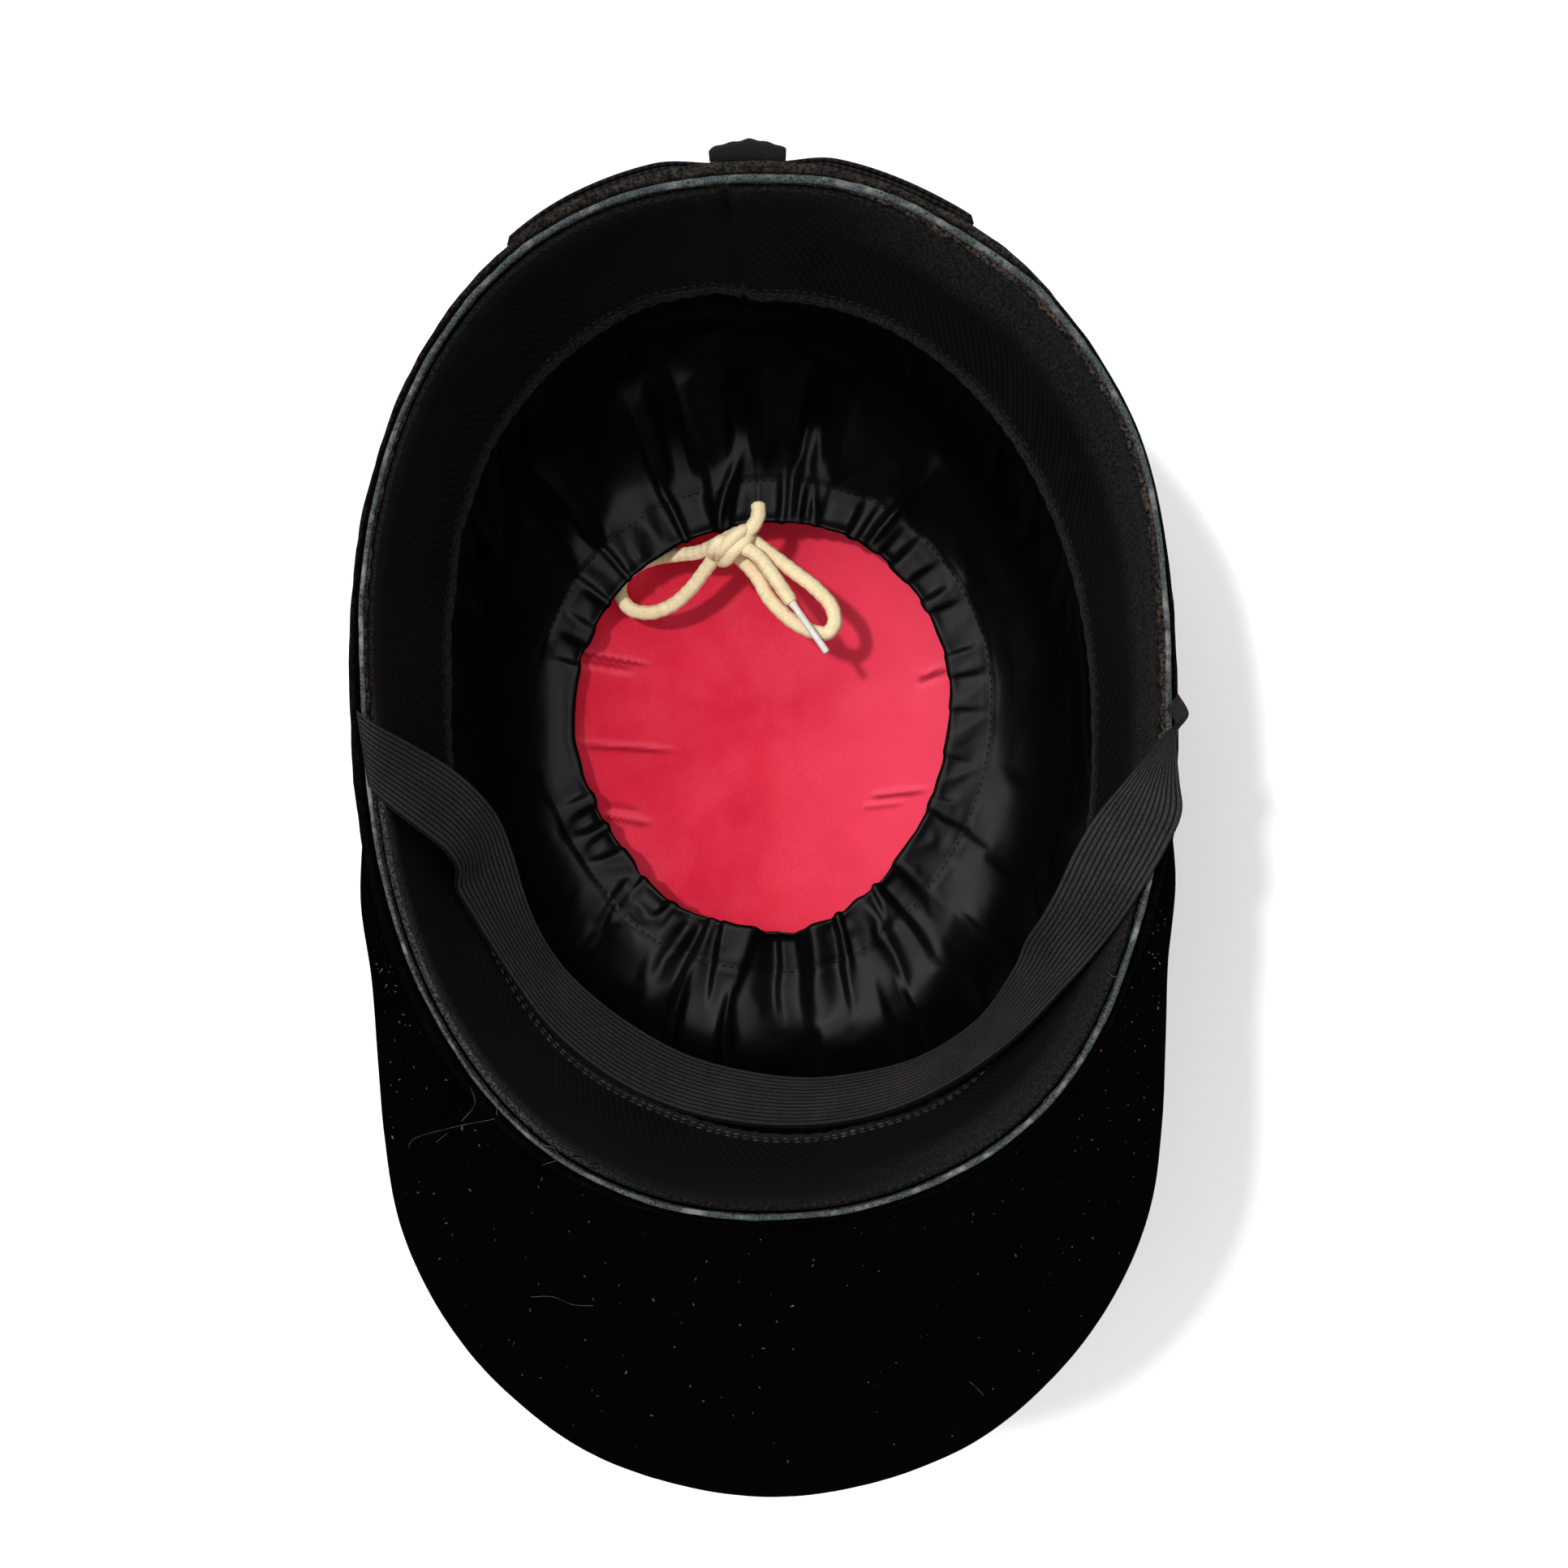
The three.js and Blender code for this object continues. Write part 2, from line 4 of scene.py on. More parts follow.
import bmesh
import bpy
from mathutils import Matrix, Vector, noise
from mathutils.bvhtree import BVHTree


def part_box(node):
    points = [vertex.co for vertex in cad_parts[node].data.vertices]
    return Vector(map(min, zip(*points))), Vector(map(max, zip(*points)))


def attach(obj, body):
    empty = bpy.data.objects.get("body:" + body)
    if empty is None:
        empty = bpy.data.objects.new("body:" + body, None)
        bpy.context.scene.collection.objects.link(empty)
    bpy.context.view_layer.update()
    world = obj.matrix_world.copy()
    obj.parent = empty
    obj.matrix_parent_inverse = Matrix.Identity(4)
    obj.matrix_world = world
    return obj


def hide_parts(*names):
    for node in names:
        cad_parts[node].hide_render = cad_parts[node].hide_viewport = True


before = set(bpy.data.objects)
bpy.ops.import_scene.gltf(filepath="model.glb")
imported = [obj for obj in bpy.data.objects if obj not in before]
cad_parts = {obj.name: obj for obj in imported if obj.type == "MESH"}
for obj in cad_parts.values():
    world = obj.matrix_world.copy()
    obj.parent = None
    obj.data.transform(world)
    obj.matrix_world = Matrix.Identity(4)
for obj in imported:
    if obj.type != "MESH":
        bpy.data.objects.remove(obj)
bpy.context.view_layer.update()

# A velvet hunt cap that lies upside down on its crown. Metres, +Z up, +Y the back of the cap.
mm = 0.001
weld = 0.002 * mm
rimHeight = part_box("rim_piping")[1].z
random.seed(7)

# Camera: straight above the opening, turned a little, as the photo was taken.
photo = {
    "place": (0.00357, -0.01681, rimHeight + 0.340),
    "turned": -1.4,  # degrees
    "lens": 40.55,
    "sensor": 36,
}
cameraData = bpy.data.cameras.new("photoCamera")
cameraData.lens = photo["lens"]
cameraData.sensor_width = photo["sensor"]
camera = bpy.data.objects.new("photoCamera", cameraData)
camera.location = photo["place"]
camera.rotation_euler = (0, 0, math.radians(photo["turned"]))
bpy.context.scene.collection.objects.link(camera)
bpy.context.scene.camera = camera
bpy.context.scene.view_settings.view_transform = "Standard"  # keeps the red as it was dyed


# Small tools
def mix(a, b, share):
    return a + (b - a) * share


def ease(value, low, high):
    share = min(1, max(0, (value - low) / (high - low)))
    return share * share * (3 - 2 * share)


def table(names, rows):
    # rows of values under named columns
    return [dict(zip(names.split(), row)) for row in rows]


def readRows(rows, key, at, column):
    # a column of a table between its rows, eased
    for low, high in zip(rows, rows[1:]):
        if at <= high[key] or high is rows[-1]:
            return mix(low[column], high[column], ease(at, low[key], high[key]))


def splinePoint(points, share):
    # centripetal spline through all the points; share runs evenly from point to point
    span = min(len(points) - 2, int(share * (len(points) - 1)))
    t = share * (len(points) - 1) - span
    b, c = points[span], points[span + 1]
    a = points[span - 1] if span else b * 2 - c
    d = points[span + 2] if span + 2 < len(points) else c * 2 - b
    ab, bc, cd = [math.sqrt((q - p).length) for p, q in ((a, b), (b, c), (c, d))]
    leave = ((b - a) / ab - (c - a) / (ab + bc) + (c - b) / bc) * bc
    arrive = ((c - b) / bc - (d - b) / (bc + cd) + (d - c) / cd) * bc
    t2, t3 = t * t, t * t * t
    return b * (2 * t3 - 3 * t2 + 1) + leave * (t3 - 2 * t2 + t) + c * (3 * t2 - 2 * t3) + arrive * (t3 - t2)


def evenLine(points, count):
    # the same spline as points that lie evenly along it
    fineSteps = 600
    fine = [splinePoint(points, i / fineSteps) for i in range(fineSteps + 1)]
    run = [0]
    for a, b in zip(fine, fine[1:]):
        run.append(run[-1] + (b - a).length)
    line = []
    k = 0
    for i in range(count + 1):
        at = run[-1] * i / count
        while k < fineSteps - 1 and run[k + 1] < at:
            k += 1
        line.append(fine[k].lerp(fine[k + 1], (at - run[k]) / (run[k + 1] - run[k])))
    return line


def lineLength(line):
    return sum((b - a).length for a, b in zip(line, line[1:]))


def grain(place, size, seed=0):
    # smooth noise from -1 to 1 with features of that size
    return noise.noise(place / size + Vector((seed, 0, 0)))


def clothForm(columns, rows, place):
    # a grid of cloth, bent to place(u, v); edges that meet are sewn together
    form = bmesh.new()
    form.loops.layers.uv.new("cloth")
    bmesh.ops.create_grid(form, x_segments=columns, y_segments=rows, size=0.5, calc_uvs=True)
    across, down = [form.verts.layers.float.new(name) for name in ("across", "down")]
    for vert in form.verts:
        vert[across], vert[down] = vert.co.x + 0.5, vert.co.y + 0.5
        vert.co = place(vert[across], vert[down])
    bmesh.ops.remove_doubles(form, verts=form.verts, dist=weld)
    return form


def settleCloth(form, cutPlace, held, recipe):
    # Blender's cloth on a copy of ten times the size. cutPlace is the cloth before it was drawn in,
    # and held says how firmly a point is sewn down; the settled places come back to the form.
    grown = 10
    across, down = [form.verts.layers.float[name] for name in ("across", "down")]
    shares = [(vert[across], vert[down]) for vert in form.verts]
    start = [vert.co.copy() for vert in form.verts]
    mesh = bpy.data.meshes.new("settling")
    form.to_mesh(mesh)
    mesh.transform(Matrix.Scale(grown, 4))
    cloth = bpy.data.objects.new("settling", mesh)
    bpy.context.scene.collection.objects.link(cloth)
    cloth.shape_key_add(name="drawn")
    cut = cloth.shape_key_add(name="cut")
    for point, share in zip(cut.data, shares):
        point.co = cutPlace(*share) * grown
    pins = cloth.vertex_groups.new(name="held")
    for i, share in enumerate(shares):
        pins.add([i], held(*share), "REPLACE")
    solver = cloth.modifiers.new("cloth", "CLOTH")
    for name, value in recipe["cloth"].items():
        setattr(solver.settings, name, value)
    solver.settings.vertex_group_mass = "held"
    solver.settings.rest_shape_key = cut
    solver.settings.effector_weights.gravity = recipe["gravity"]
    solver.collision_settings.use_collision = False
    for i in range(recipe["frames"]):
        bpy.context.scene.frame_set(i + 1)
    settled = cloth.evaluated_get(bpy.context.evaluated_depsgraph_get()).data
    for vert, point, first in zip(form.verts, settled.vertices, start):
        move = point.co / grown - first
        vert.co = first + move * min(1, recipe["furthest"] / max(move.length, weld))
    bpy.context.scene.frame_set(1)
    bpy.data.objects.remove(cloth)


def closeForm(form):
    # close what is still open, with the faces pointing out
    bmesh.ops.holes_fill(form, edges=form.edges, sides=0)
    bmesh.ops.recalc_face_normals(form, faces=form.faces)


def joinForms(forms):
    joined = bmesh.new()
    for form in forms:
        mesh = bpy.data.meshes.new("joined")
        form.to_mesh(mesh)
        form.free()
        joined.from_mesh(mesh)
        bpy.data.meshes.remove(mesh)
    return joined


def addPiece(name, form, material, replaced=()):
    mesh = bpy.data.meshes.new(name)
    form.to_mesh(mesh)
    form.free()
    mesh.materials.append(material)
    for face in mesh.polygons:
        face.use_smooth = True
    piece = bpy.data.objects.new(name, mesh)
    bpy.context.scene.collection.objects.link(piece)
    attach(piece, "root")
    if replaced:
        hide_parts(*replaced)
    return piece


def thicken(piece, thickness, side):
    wall = piece.modifiers.new("wall", "SOLIDIFY")
    wall.thickness = thickness
    wall.offset = side
    wall.use_even_offset = False


def paintPoints(piece, name, value):
    # a value for each point, which a material can read by its name
    layer = piece.data.attributes.new(name, "FLOAT", "POINT")
    layer.data.foreach_set("value", [value(vert.co) for vert in piece.data.vertices])


def tubeForm(line, radius, sides, relief=None):
    # a closed tube along a line of points; radius and relief are functions of the share and the turn
    frames = []
    side = Vector((0, 0, 1))
    for i in range(len(line)):
        ahead = (line[min(i + 1, len(line) - 1)] - line[max(i - 1, 0)]).normalized()
        side = (side - ahead * side.dot(ahead)).normalized()
        frames.append((line[i], side.copy(), ahead.cross(side)))

    def place(u, v):
        centre, across, up = frames[round(v * (len(line) - 1))]
        turn = 2 * math.pi * u
        reach = radius(v) + (relief(v, turn) if relief else 0)
        return centre + (across * math.cos(turn) + up * math.sin(turn)) * reach

    form = clothForm(sides, len(line) - 1, place)
    closeForm(form)
    return form


# Materials
def linear(hexColour):
    # an sRGB hex colour as linear light
    parts = [int(hexColour[i:i + 2], 16) / 255 for i in (1, 3, 5)]
    return [p / 12.92 if p <= 0.04045 else ((p + 0.055) / 1.055) ** 2.4 for p in parts] + [1]


def addNode(material, kind, output, **values):
    # a node with its settings and links, under the identifiers of its sockets; gives one output
    tree = material.node_tree
    made = tree.nodes.new("ShaderNode" + kind)
    sockets = {socket.identifier.replace(" ", "_"): socket for socket in made.inputs}
    for name, value in values.items():
        if isinstance(value, bpy.types.NodeSocket):
            tree.links.new(value, sockets[name])
        elif name in sockets:
            sockets[name].default_value = value
        else:
            setattr(made, name, value)
    return next(socket for socket in made.outputs if socket.identifier == output)


def newMaterial(name, **surface):
    # a material whose shader has those constant values
    material = bpy.data.materials.new(name)
    material.use_nodes = True
    for key, value in surface.items():
        material.node_tree.nodes["Principled BSDF"].inputs[key.replace("_", " ")].default_value = value
    return material


def finishSkin(material, fine=None, strength=0, distance=0, **links):
    # patterns that drive the shader's inputs, and the relief that a fine one gives
    tree = material.node_tree
    if fine:
        links["Normal"] = addNode(
            material, "Bump", "Normal", Strength=strength, Distance=distance, Height=fine)
    for key, link in links.items():
        tree.links.new(link, tree.nodes["Principled BSDF"].inputs[key.replace("_", " ")])
    return material


def unevenness(material, *rows):
    # noise on the piece's own coordinates, one pattern for each size, detail and roughness
    place = addNode(material, "TexCoord", "Object")
    return [addNode(material, "TexNoise", "Fac", Vector=place, Scale=1 / size, Detail=detail, Roughness=rough)
            for size, detail, rough in rows]


def shade(material, value, low, high, first, second, most=1):
    # from one colour to the next as a value goes from low to high; each is a hex colour or a link
    share = addNode(material, "MapRange", "Result", Value=value, From_Min=low, From_Max=high, To_Max=most)
    first, second = [linear(colour) if isinstance(colour, str) else colour for colour in (first, second)]
    return addNode(material, "Mix", "Result_Color", data_type="RGBA", Factor_Float=share,
                   A_Color=first, B_Color=second)


def patchy(material, painted, value, low, high, ground, cover):
    # a cover that lies in patches where the painted value is high
    share = addNode(material, "Attribute", "Fac", attribute_name=painted)
    spots = addNode(material, "MapRange", "Result", Value=value, From_Min=low, From_Max=high)
    both = addNode(material, "Math", "Value", operation="MULTIPLY", Value=share, Value_001=spots)
    return addNode(material, "Mix", "Result_Color", data_type="RGBA", Factor_Float=both,
                   A_Color=ground, B_Color=cover)


def cottonVelvet():
    # cut cotton pile on a stiff shell: it swallows light, and the worn places show the brown ground
    skin = newMaterial(
        "cottonVelvetCutPile", Roughness=0.96, Sheen_Weight=0.008, Sheen_Roughness=0.35,
        Sheen_Tint=linear("#c9cdd8"), Specular_IOR_Level=0.02)
    brushed, pile, spots = unevenness(skin, (14 * mm, 4, 0.55), (0.55 * mm, 2, 0.7), (2.6 * mm, 5, 0.7))
    deep = shade(skin, brushed, 0.35, 0.7, "#010101", "#020203")
    ground = shade(skin, pile, 0.42, 0.62, "#1c1918", "#403c37")
    worn = patchy(skin, "worn", spots, 0.25, 0.65, deep, ground)
    return finishSkin(skin, pile, 0.5, 0.35 * mm, Base_Color=worn)


def wornPipingCotton():
    # corded cotton edge, rubbed grey-green, with dark dirt between its threads
    skin = newMaterial(
        "wornPipingCotton", Roughness=0.9, Sheen_Weight=0.04, Sheen_Roughness=0.5, Specular_IOR_Level=0.1)
    patch, thread = unevenness(skin, (5 * mm, 5, 0.65), (0.4 * mm, 2, 0.7))
    grey = shade(skin, thread, 0.35, 0.68, "#191d1e", "#4e5757")
    rubbed = shade(skin, patch, 0.5, 0.72, grey, "#787c79")
    return finishSkin(skin, thread, 0.7, 0.3 * mm, Base_Color=rubbed)


def wornTapeCotton():
    # cut edge of a cotton tape: brownish fluff with dark holes between its threads
    skin = newMaterial("wornTapeCotton", Roughness=0.95, Sheen_Weight=0.02, Specular_IOR_Level=0.03)
    fluff, patch = unevenness(skin, (0.7 * mm, 3, 0.75), (7 * mm, 3, 0.55))
    brown = shade(skin, patch, 0.4, 0.7, "#2e2925", "#4d443b")
    holed = shade(skin, fluff, 0.42, 0.6, "#0c0b0a", brown)
    return finishSkin(skin, fluff, 0.6, 0.3 * mm, Base_Color=holed)


def cottonTwill(clothWide, clothDeep):
    # black cotton twill: slanted ridges, drawn at twice the thread spacing so that they show
    twillSpacing = 0.95 * mm
    skin = newMaterial(
        "cottonTwillWoven", Roughness=0.88, Sheen_Weight=0.012, Sheen_Roughness=0.45, Specular_IOR_Level=0.05)
    weave = addNode(skin, "UVMap", "UV", uv_map="cloth")
    threads = (clothWide / twillSpacing, clothDeep / twillSpacing, 1)
    slanted = addNode(skin, "Mapping", "Vector", Vector=weave, Scale=threads)
    ridges = addNode(skin, "TexWave", "Fac", bands_direction="DIAGONAL", Vector=slanted, Scale=0.32,
                     Distortion=0.4, Detail=2)
    patch, fluff = unevenness(skin, (22 * mm, 4, 0.55), (0.6 * mm, 3, 0.75))
    dark = shade(skin, patch, 0.35, 0.7, "#040405", "#09090a")
    light = shade(skin, fluff, 0.5, 0.75, "#0c0c0e", "#1b1a1b")
    woven = shade(skin, ridges, 0.3, 0.95, dark, light, 0.6)
    # the painted "frayed" value holds fray and, on the upper right side, painted light
    frayed = patchy(skin, "frayed", fluff, 0.4, 0.66, woven, linear("#504f4d"))
    return finishSkin(skin, ridges, 0.3, 0.15 * mm, Base_Color=frayed)


def blackSatin():
    # warp-faced acetate satin: black, with soft bands of gloss on each fold, duller where handled
    skin = newMaterial("acetateSatinBlack", Base_Color=linear("#020203"), Specular_IOR_Level=0.38)
    handled, floats = unevenness(skin, (9 * mm, 4, 0.55), (0.5 * mm, 2, 0.6))
    smooth = addNode(skin, "Attribute", "Fac", attribute_name="smooth")
    dulled = addNode(skin, "MapRange", "Result", Value=handled, From_Min=0.2, From_Max=0.85,
                     To_Min=0.36, To_Max=0.48)
    rough = addNode(skin, "Mix", "Result_Float", Factor_Float=smooth, A_Float=dulled, B_Float=0.26)
    return finishSkin(skin, floats, 0.12, 0.12 * mm, Roughness=rough)


def crimsonSatin():
    # dyed satin pasted on card: clouded crimson with a fine silky grain, painted light towards +X, and
    # painted highlight and shade beside the creases
    skin = newMaterial(
        "crimsonSatinPasted", Roughness=0.62, Sheen_Weight=0.05, Sheen_Roughness=0.45,
        Sheen_Tint=linear("#ff9aa8"), Specular_IOR_Level=0.1)
    cloud, stain, silk = unevenness(skin, (26 * mm, 5, 0.6), (11 * mm, 2, 0.5), (0.5 * mm, 2, 0.7))
    across = addNode(skin, "SeparateXYZ", "X", Vector=addNode(skin, "TexCoord", "Object"))
    creaseLightShade = addNode(skin, "Attribute", "Fac", attribute_name="creaseLightShade")
    dyed = shade(skin, cloud, 0.3, 0.7, "#db223d", "#f2384f")
    faded = shade(skin, stain, 0.4, 0.8, dyed, "#f54f66", 0.4)
    grainy = shade(skin, silk, 0.35, 0.75, faded, "#b7163a", 0.35)
    # painted light: paler towards +X, the side of the hollow that faces the lamps
    paintedLightToRight = shade(skin, across, 0, 45 * mm, grainy, "#ff5572", 0.6)
    # painted shade beside each crease on the side away from the light, painted highlight on the side towards
    # it
    paintedCreaseShade = shade(skin, creaseLightShade, 0, 1, paintedLightToRight, "#7d0f26")
    paintedCreaseHighlight = shade(skin, creaseLightShade, 0, -1, paintedCreaseShade, "#fb7085")
    return finishSkin(skin, silk, 0.15, 0.15 * mm, Base_Color=paintedCreaseHighlight)


def ribbedElastic():
    # covered rubber threads woven flat: grey ribs, with painted shade that makes the grooves between them
    # black
    skin = newMaterial(
        "ribbedElasticWoven", Roughness=0.82, Sheen_Weight=0.02, Sheen_Roughness=0.4, Specular_IOR_Level=0.1)
    threads, patch = unevenness(skin, (0.45 * mm, 2, 0.7), (16 * mm, 3, 0.55))
    rib = addNode(skin, "Attribute", "Fac", attribute_name="rib")
    grey = shade(skin, threads, 0.3, 0.72, "#191919", "#313131")
    aged = shade(skin, patch, 0.45, 0.75, grey, "#3b3835", 0.5)
    # painted shade: near black in the grooves between the ribs
    grooveShadedRibs = shade(skin, rib, 0.3, 0.85, "#060607", aged)
    return finishSkin(skin, threads, 0.45, 0.2 * mm, Base_Color=grooveShadedRibs)


def braidedCotton():
    # unbleached cotton cord, braided round, with a soft fuzz
    skin = newMaterial(
        "cottonCordBraided", Roughness=0.92, Sheen_Weight=0.3, Sheen_Roughness=0.5,
        Sheen_Tint=linear("#fff2d2"))
    patch, fibre = unevenness(skin, (4 * mm, 4, 0.6), (0.45 * mm, 3, 0.7))
    cream = shade(skin, fibre, 0.35, 0.65, "#ecd3a0", "#fff1cc")
    aged = shade(skin, patch, 0.5, 0.8, cream, "#e0c58c", 0.6)
    return finishSkin(skin, fibre, 0.5, 0.25 * mm, Base_Color=aged)


def plasticFilm():
    # white plastic film shrunk round the cord's end: smooth and slightly glossy
    skin = newMaterial("plasticFilmWhite", Roughness=0.35, IOR=1.5, Subsurface_Weight=0.1)
    scuff, = unevenness(skin, (3 * mm, 4, 0.7))
    return finishSkin(skin, Base_Color=shade(skin, scuff, 0.4, 0.75, "#f1ece2", "#d8cfc0"))


def grosgrainRibbon():
    # black grosgrain: crosswise cords that show as ribs, drawn coarser than real
    skin = newMaterial("grosgrainRibbonWoven", Roughness=0.85, Sheen_Weight=0.01, Specular_IOR_Level=0.1)
    weave = addNode(skin, "UVMap", "UV", uv_map="cloth")
    cords = addNode(skin, "TexWave", "Fac", bands_direction="X", Vector=weave, Scale=16, Distortion=0.2)
    rust, = unevenness(skin, (6 * mm, 4, 0.7))
    black = shade(skin, cords, 0.2, 0.8, "#0a090b", "#1d1b1e")
    rusty = shade(skin, rust, 0.5, 0.75, black, "#2a2120", 0.5)
    return finishSkin(skin, cords, 0.6, 0.2 * mm, Base_Color=rusty)


def sewingThread(name, light, dark):
    # mercerised cotton thread: slightly shiny stitches
    skin = newMaterial(name, Roughness=0.7, Sheen_Weight=0.02, Specular_IOR_Level=0.1)
    patch, = unevenness(skin, (3 * mm, 3, 0.7))
    return finishSkin(skin, Base_Color=shade(skin, patch, 0.35, 0.7, dark, light))


print("materials and camera ready")

# Drawstring: two cords of real length, through one knot
cordSize = {
    "diameter": 3.5 * mm,
    "sides": 28,
    "strands": 8,
    "braidPitch": 5.2 * mm,
    "braidRelief": 0.1 * mm,
    "fuzzSize": 2.4 * mm,
    "tipLength": 3.2 * mm,  # where the free end narrows
    "tipNarrowed": 0.45,
    "stepLength": 0.3 * mm,
}
# metres, from the knot round the right loop, back through the knot and along the free end
rightRoute = [
    (-0.0046, 0.0424, 0.0372), (-0.0029, 0.0425, 0.0372), (0.0008, 0.0397, 0.0372),
    (0.0069, 0.0349, 0.0374), (0.0127, 0.0302, 0.0376), (0.0162, 0.0258, 0.0378),
    (0.0168, 0.0219, 0.0380), (0.0149, 0.0195, 0.0380), (0.0115, 0.0200, 0.0376),
    (0.0076, 0.0220, 0.0368), (0.0036, 0.0255, 0.0360), (0.0007, 0.0291, 0.0355),
    (-0.0011, 0.0327, 0.0352), (-0.0040, 0.0367, 0.0347), (-0.0068, 0.0392, 0.0350),
    (-0.0085, 0.0407, 0.0372), (-0.0073, 0.0412, 0.0396), (-0.0044, 0.0402, 0.0405),
    (-0.0012, 0.0381, 0.0405), (0.0012, 0.0349, 0.0406), (0.0040, 0.0307, 0.0409),
    (0.0065, 0.0268, 0.0412),
]
# metres, from the knot round the left loop, back through the knot and up to the cut end
leftRoute = [
    (-0.0098, 0.0406, 0.0358), (-0.0117, 0.0392, 0.0340), (-0.0146, 0.0362, 0.0314),
    (-0.0186, 0.0318, 0.0284), (-0.0236, 0.0282, 0.0254), (-0.0290, 0.0268, 0.0242),
    (-0.0336, 0.0278, 0.0240), (-0.0360, 0.0310, 0.0234), (-0.0360, 0.0352, 0.0226),
    (-0.0330, 0.0384, 0.0222), (-0.0276, 0.0404, 0.0236), (-0.0208, 0.0408, 0.0272),
    (-0.0160, 0.0408, 0.0308), (-0.0126, 0.0416, 0.0340), (-0.0092, 0.0428, 0.0372),
    (-0.0062, 0.0438, 0.0396), (-0.0042, 0.0440, 0.0402), (-0.0022, 0.0456, 0.0412),
    (-0.0010, 0.0480, 0.0410), (-0.0010, 0.0514, 0.0404),
]
cordMaterial = braidedCotton()


def cordRadius(share, length, taperAtEnd):
    # round ends; the free end narrows into its plastic tip
    radius = cordSize["diameter"] / 2
    fromStart = share * length
    fromEnd = (1 - share) * length
    nose = min(1, fromStart / radius)
    tail = min(1, fromEnd / (0.7 * radius))
    if taperAtEnd:
        tail = mix(cordSize["tipNarrowed"], 1, ease(fromEnd, -0.2 * mm, cordSize["tipLength"]))
    rounded = [math.sqrt(max(0.0004, end * (2 - end))) for end in (nose, tail)]
    return radius * rounded[0] * rounded[1]


def braidedCord(name, route, replaced, taperAtEnd):
    points = [Vector(point) for point in route]
    steps = round(lineLength(evenLine(points, 200)) / cordSize["stepLength"])
    line = evenLine(points, steps)
    length = lineLength(line)

    def relief(share, turn):
        along = share * length / cordSize["braidPitch"] * 2 * math.pi
        strand = cordSize["strands"] / 2 * turn
        over = math.cos(strand + along) * math.cos(strand - along)
        skin = Vector((share * length, math.cos(turn) * mm, math.sin(turn) * mm))
        bumpy = grain(skin, cordSize["fuzzSize"], 3)
        return cordSize["braidRelief"] * (over + 0.8 * bumpy)

    form = tubeForm(line, lambda share: cordRadius(share, length, taperAtEnd), cordSize["sides"], relief)
    return addPiece(name, form, cordMaterial, replaced), line, length


rightCord, rightLine, rightLength = braidedCord(
    "drawstringRight", rightRoute, ("drawstring_right_loop", "drawstring_free_end"), True)
leftCord, leftLine, leftLength = braidedCord(
    "drawstringLeft", leftRoute, ("drawstring_left_loop", "drawstring_stub"), False)

# The knot: the right cord's turn over the left one, as three short wraps, in metres
knotWraps = [
    # a flat collar round the root of both loops
    [(-0.0128, 0.0388, 0.0372), (-0.0122, 0.0404, 0.0396), (-0.0106, 0.0418, 0.0406),
     (-0.0090, 0.0424, 0.0396), (-0.0080, 0.0418, 0.0372)],
    # the long wrap that climbs to the cut end
    [(-0.0112, 0.0384, 0.0366), (-0.0100, 0.0400, 0.0404), (-0.0074, 0.0424, 0.0420),
     (-0.0046, 0.0446, 0.0416), (-0.0030, 0.0452, 0.0396)],
    # the one below it, over the roots of the loops on the right
    [(-0.0106, 0.0372, 0.0350), (-0.0090, 0.0376, 0.0384), (-0.0070, 0.0396, 0.0408),
     (-0.0044, 0.0416, 0.0412), (-0.0024, 0.0432, 0.0390)],
]
knot = {"radius": 1.6 * mm, "relief": 0.06 * mm, "sides": 20, "steps": 30}


def wrapRadius(share):
    return knot["radius"] * math.sqrt(max(0.05, math.sin(math.pi * mix(0.08, 0.92, share))))


def wrapRelief(share, turn):
    return knot["relief"] * math.cos(4 * turn + 12 * share) * math.cos(4 * turn - 12 * share)


wrapLines = [evenLine([Vector(point) for point in wrap], knot["steps"]) for wrap in knotWraps]
knotForm = joinForms(tubeForm(line, wrapRadius, knot["sides"], wrapRelief) for line in wrapLines)
drawstringKnot = addPiece("drawstringKnot", knotForm, cordMaterial, ("drawstring_knot",))

# The plastic tip: a film tube that grips the cord's end
aglet = {
    "from": (0.0065, 0.0268, 0.0412),
    "to": (0.0147, 0.0145, 0.0418),
    "radius": 0.85 * mm,
    "gripped": 0.22 * mm,
    "pressed": 0.05 * mm,
    "rounded": 0.25 * mm,
    "sides": 24,
    "steps": 48,
}


def agletRadius(share):
    gripped = aglet["gripped"] * (1 - ease(share, 0.0, 0.16))
    pressed = -aglet["pressed"] * math.exp(-((share - 0.12) / 0.03) ** 2)
    return aglet["radius"] + gripped + pressed - aglet["rounded"] * ease(share, 0.985, 1.0)


agletLine = evenLine([Vector(aglet["from"]), Vector(aglet["to"])], aglet["steps"])
agletForm = tubeForm(agletLine, agletRadius, aglet["sides"])
drawstringAglet = addPiece("drawstringAglet", agletForm, plasticFilm(), ("drawstring_aglet",))

print("drawstring done", round(rightLength, 4), round(leftLength, 4))

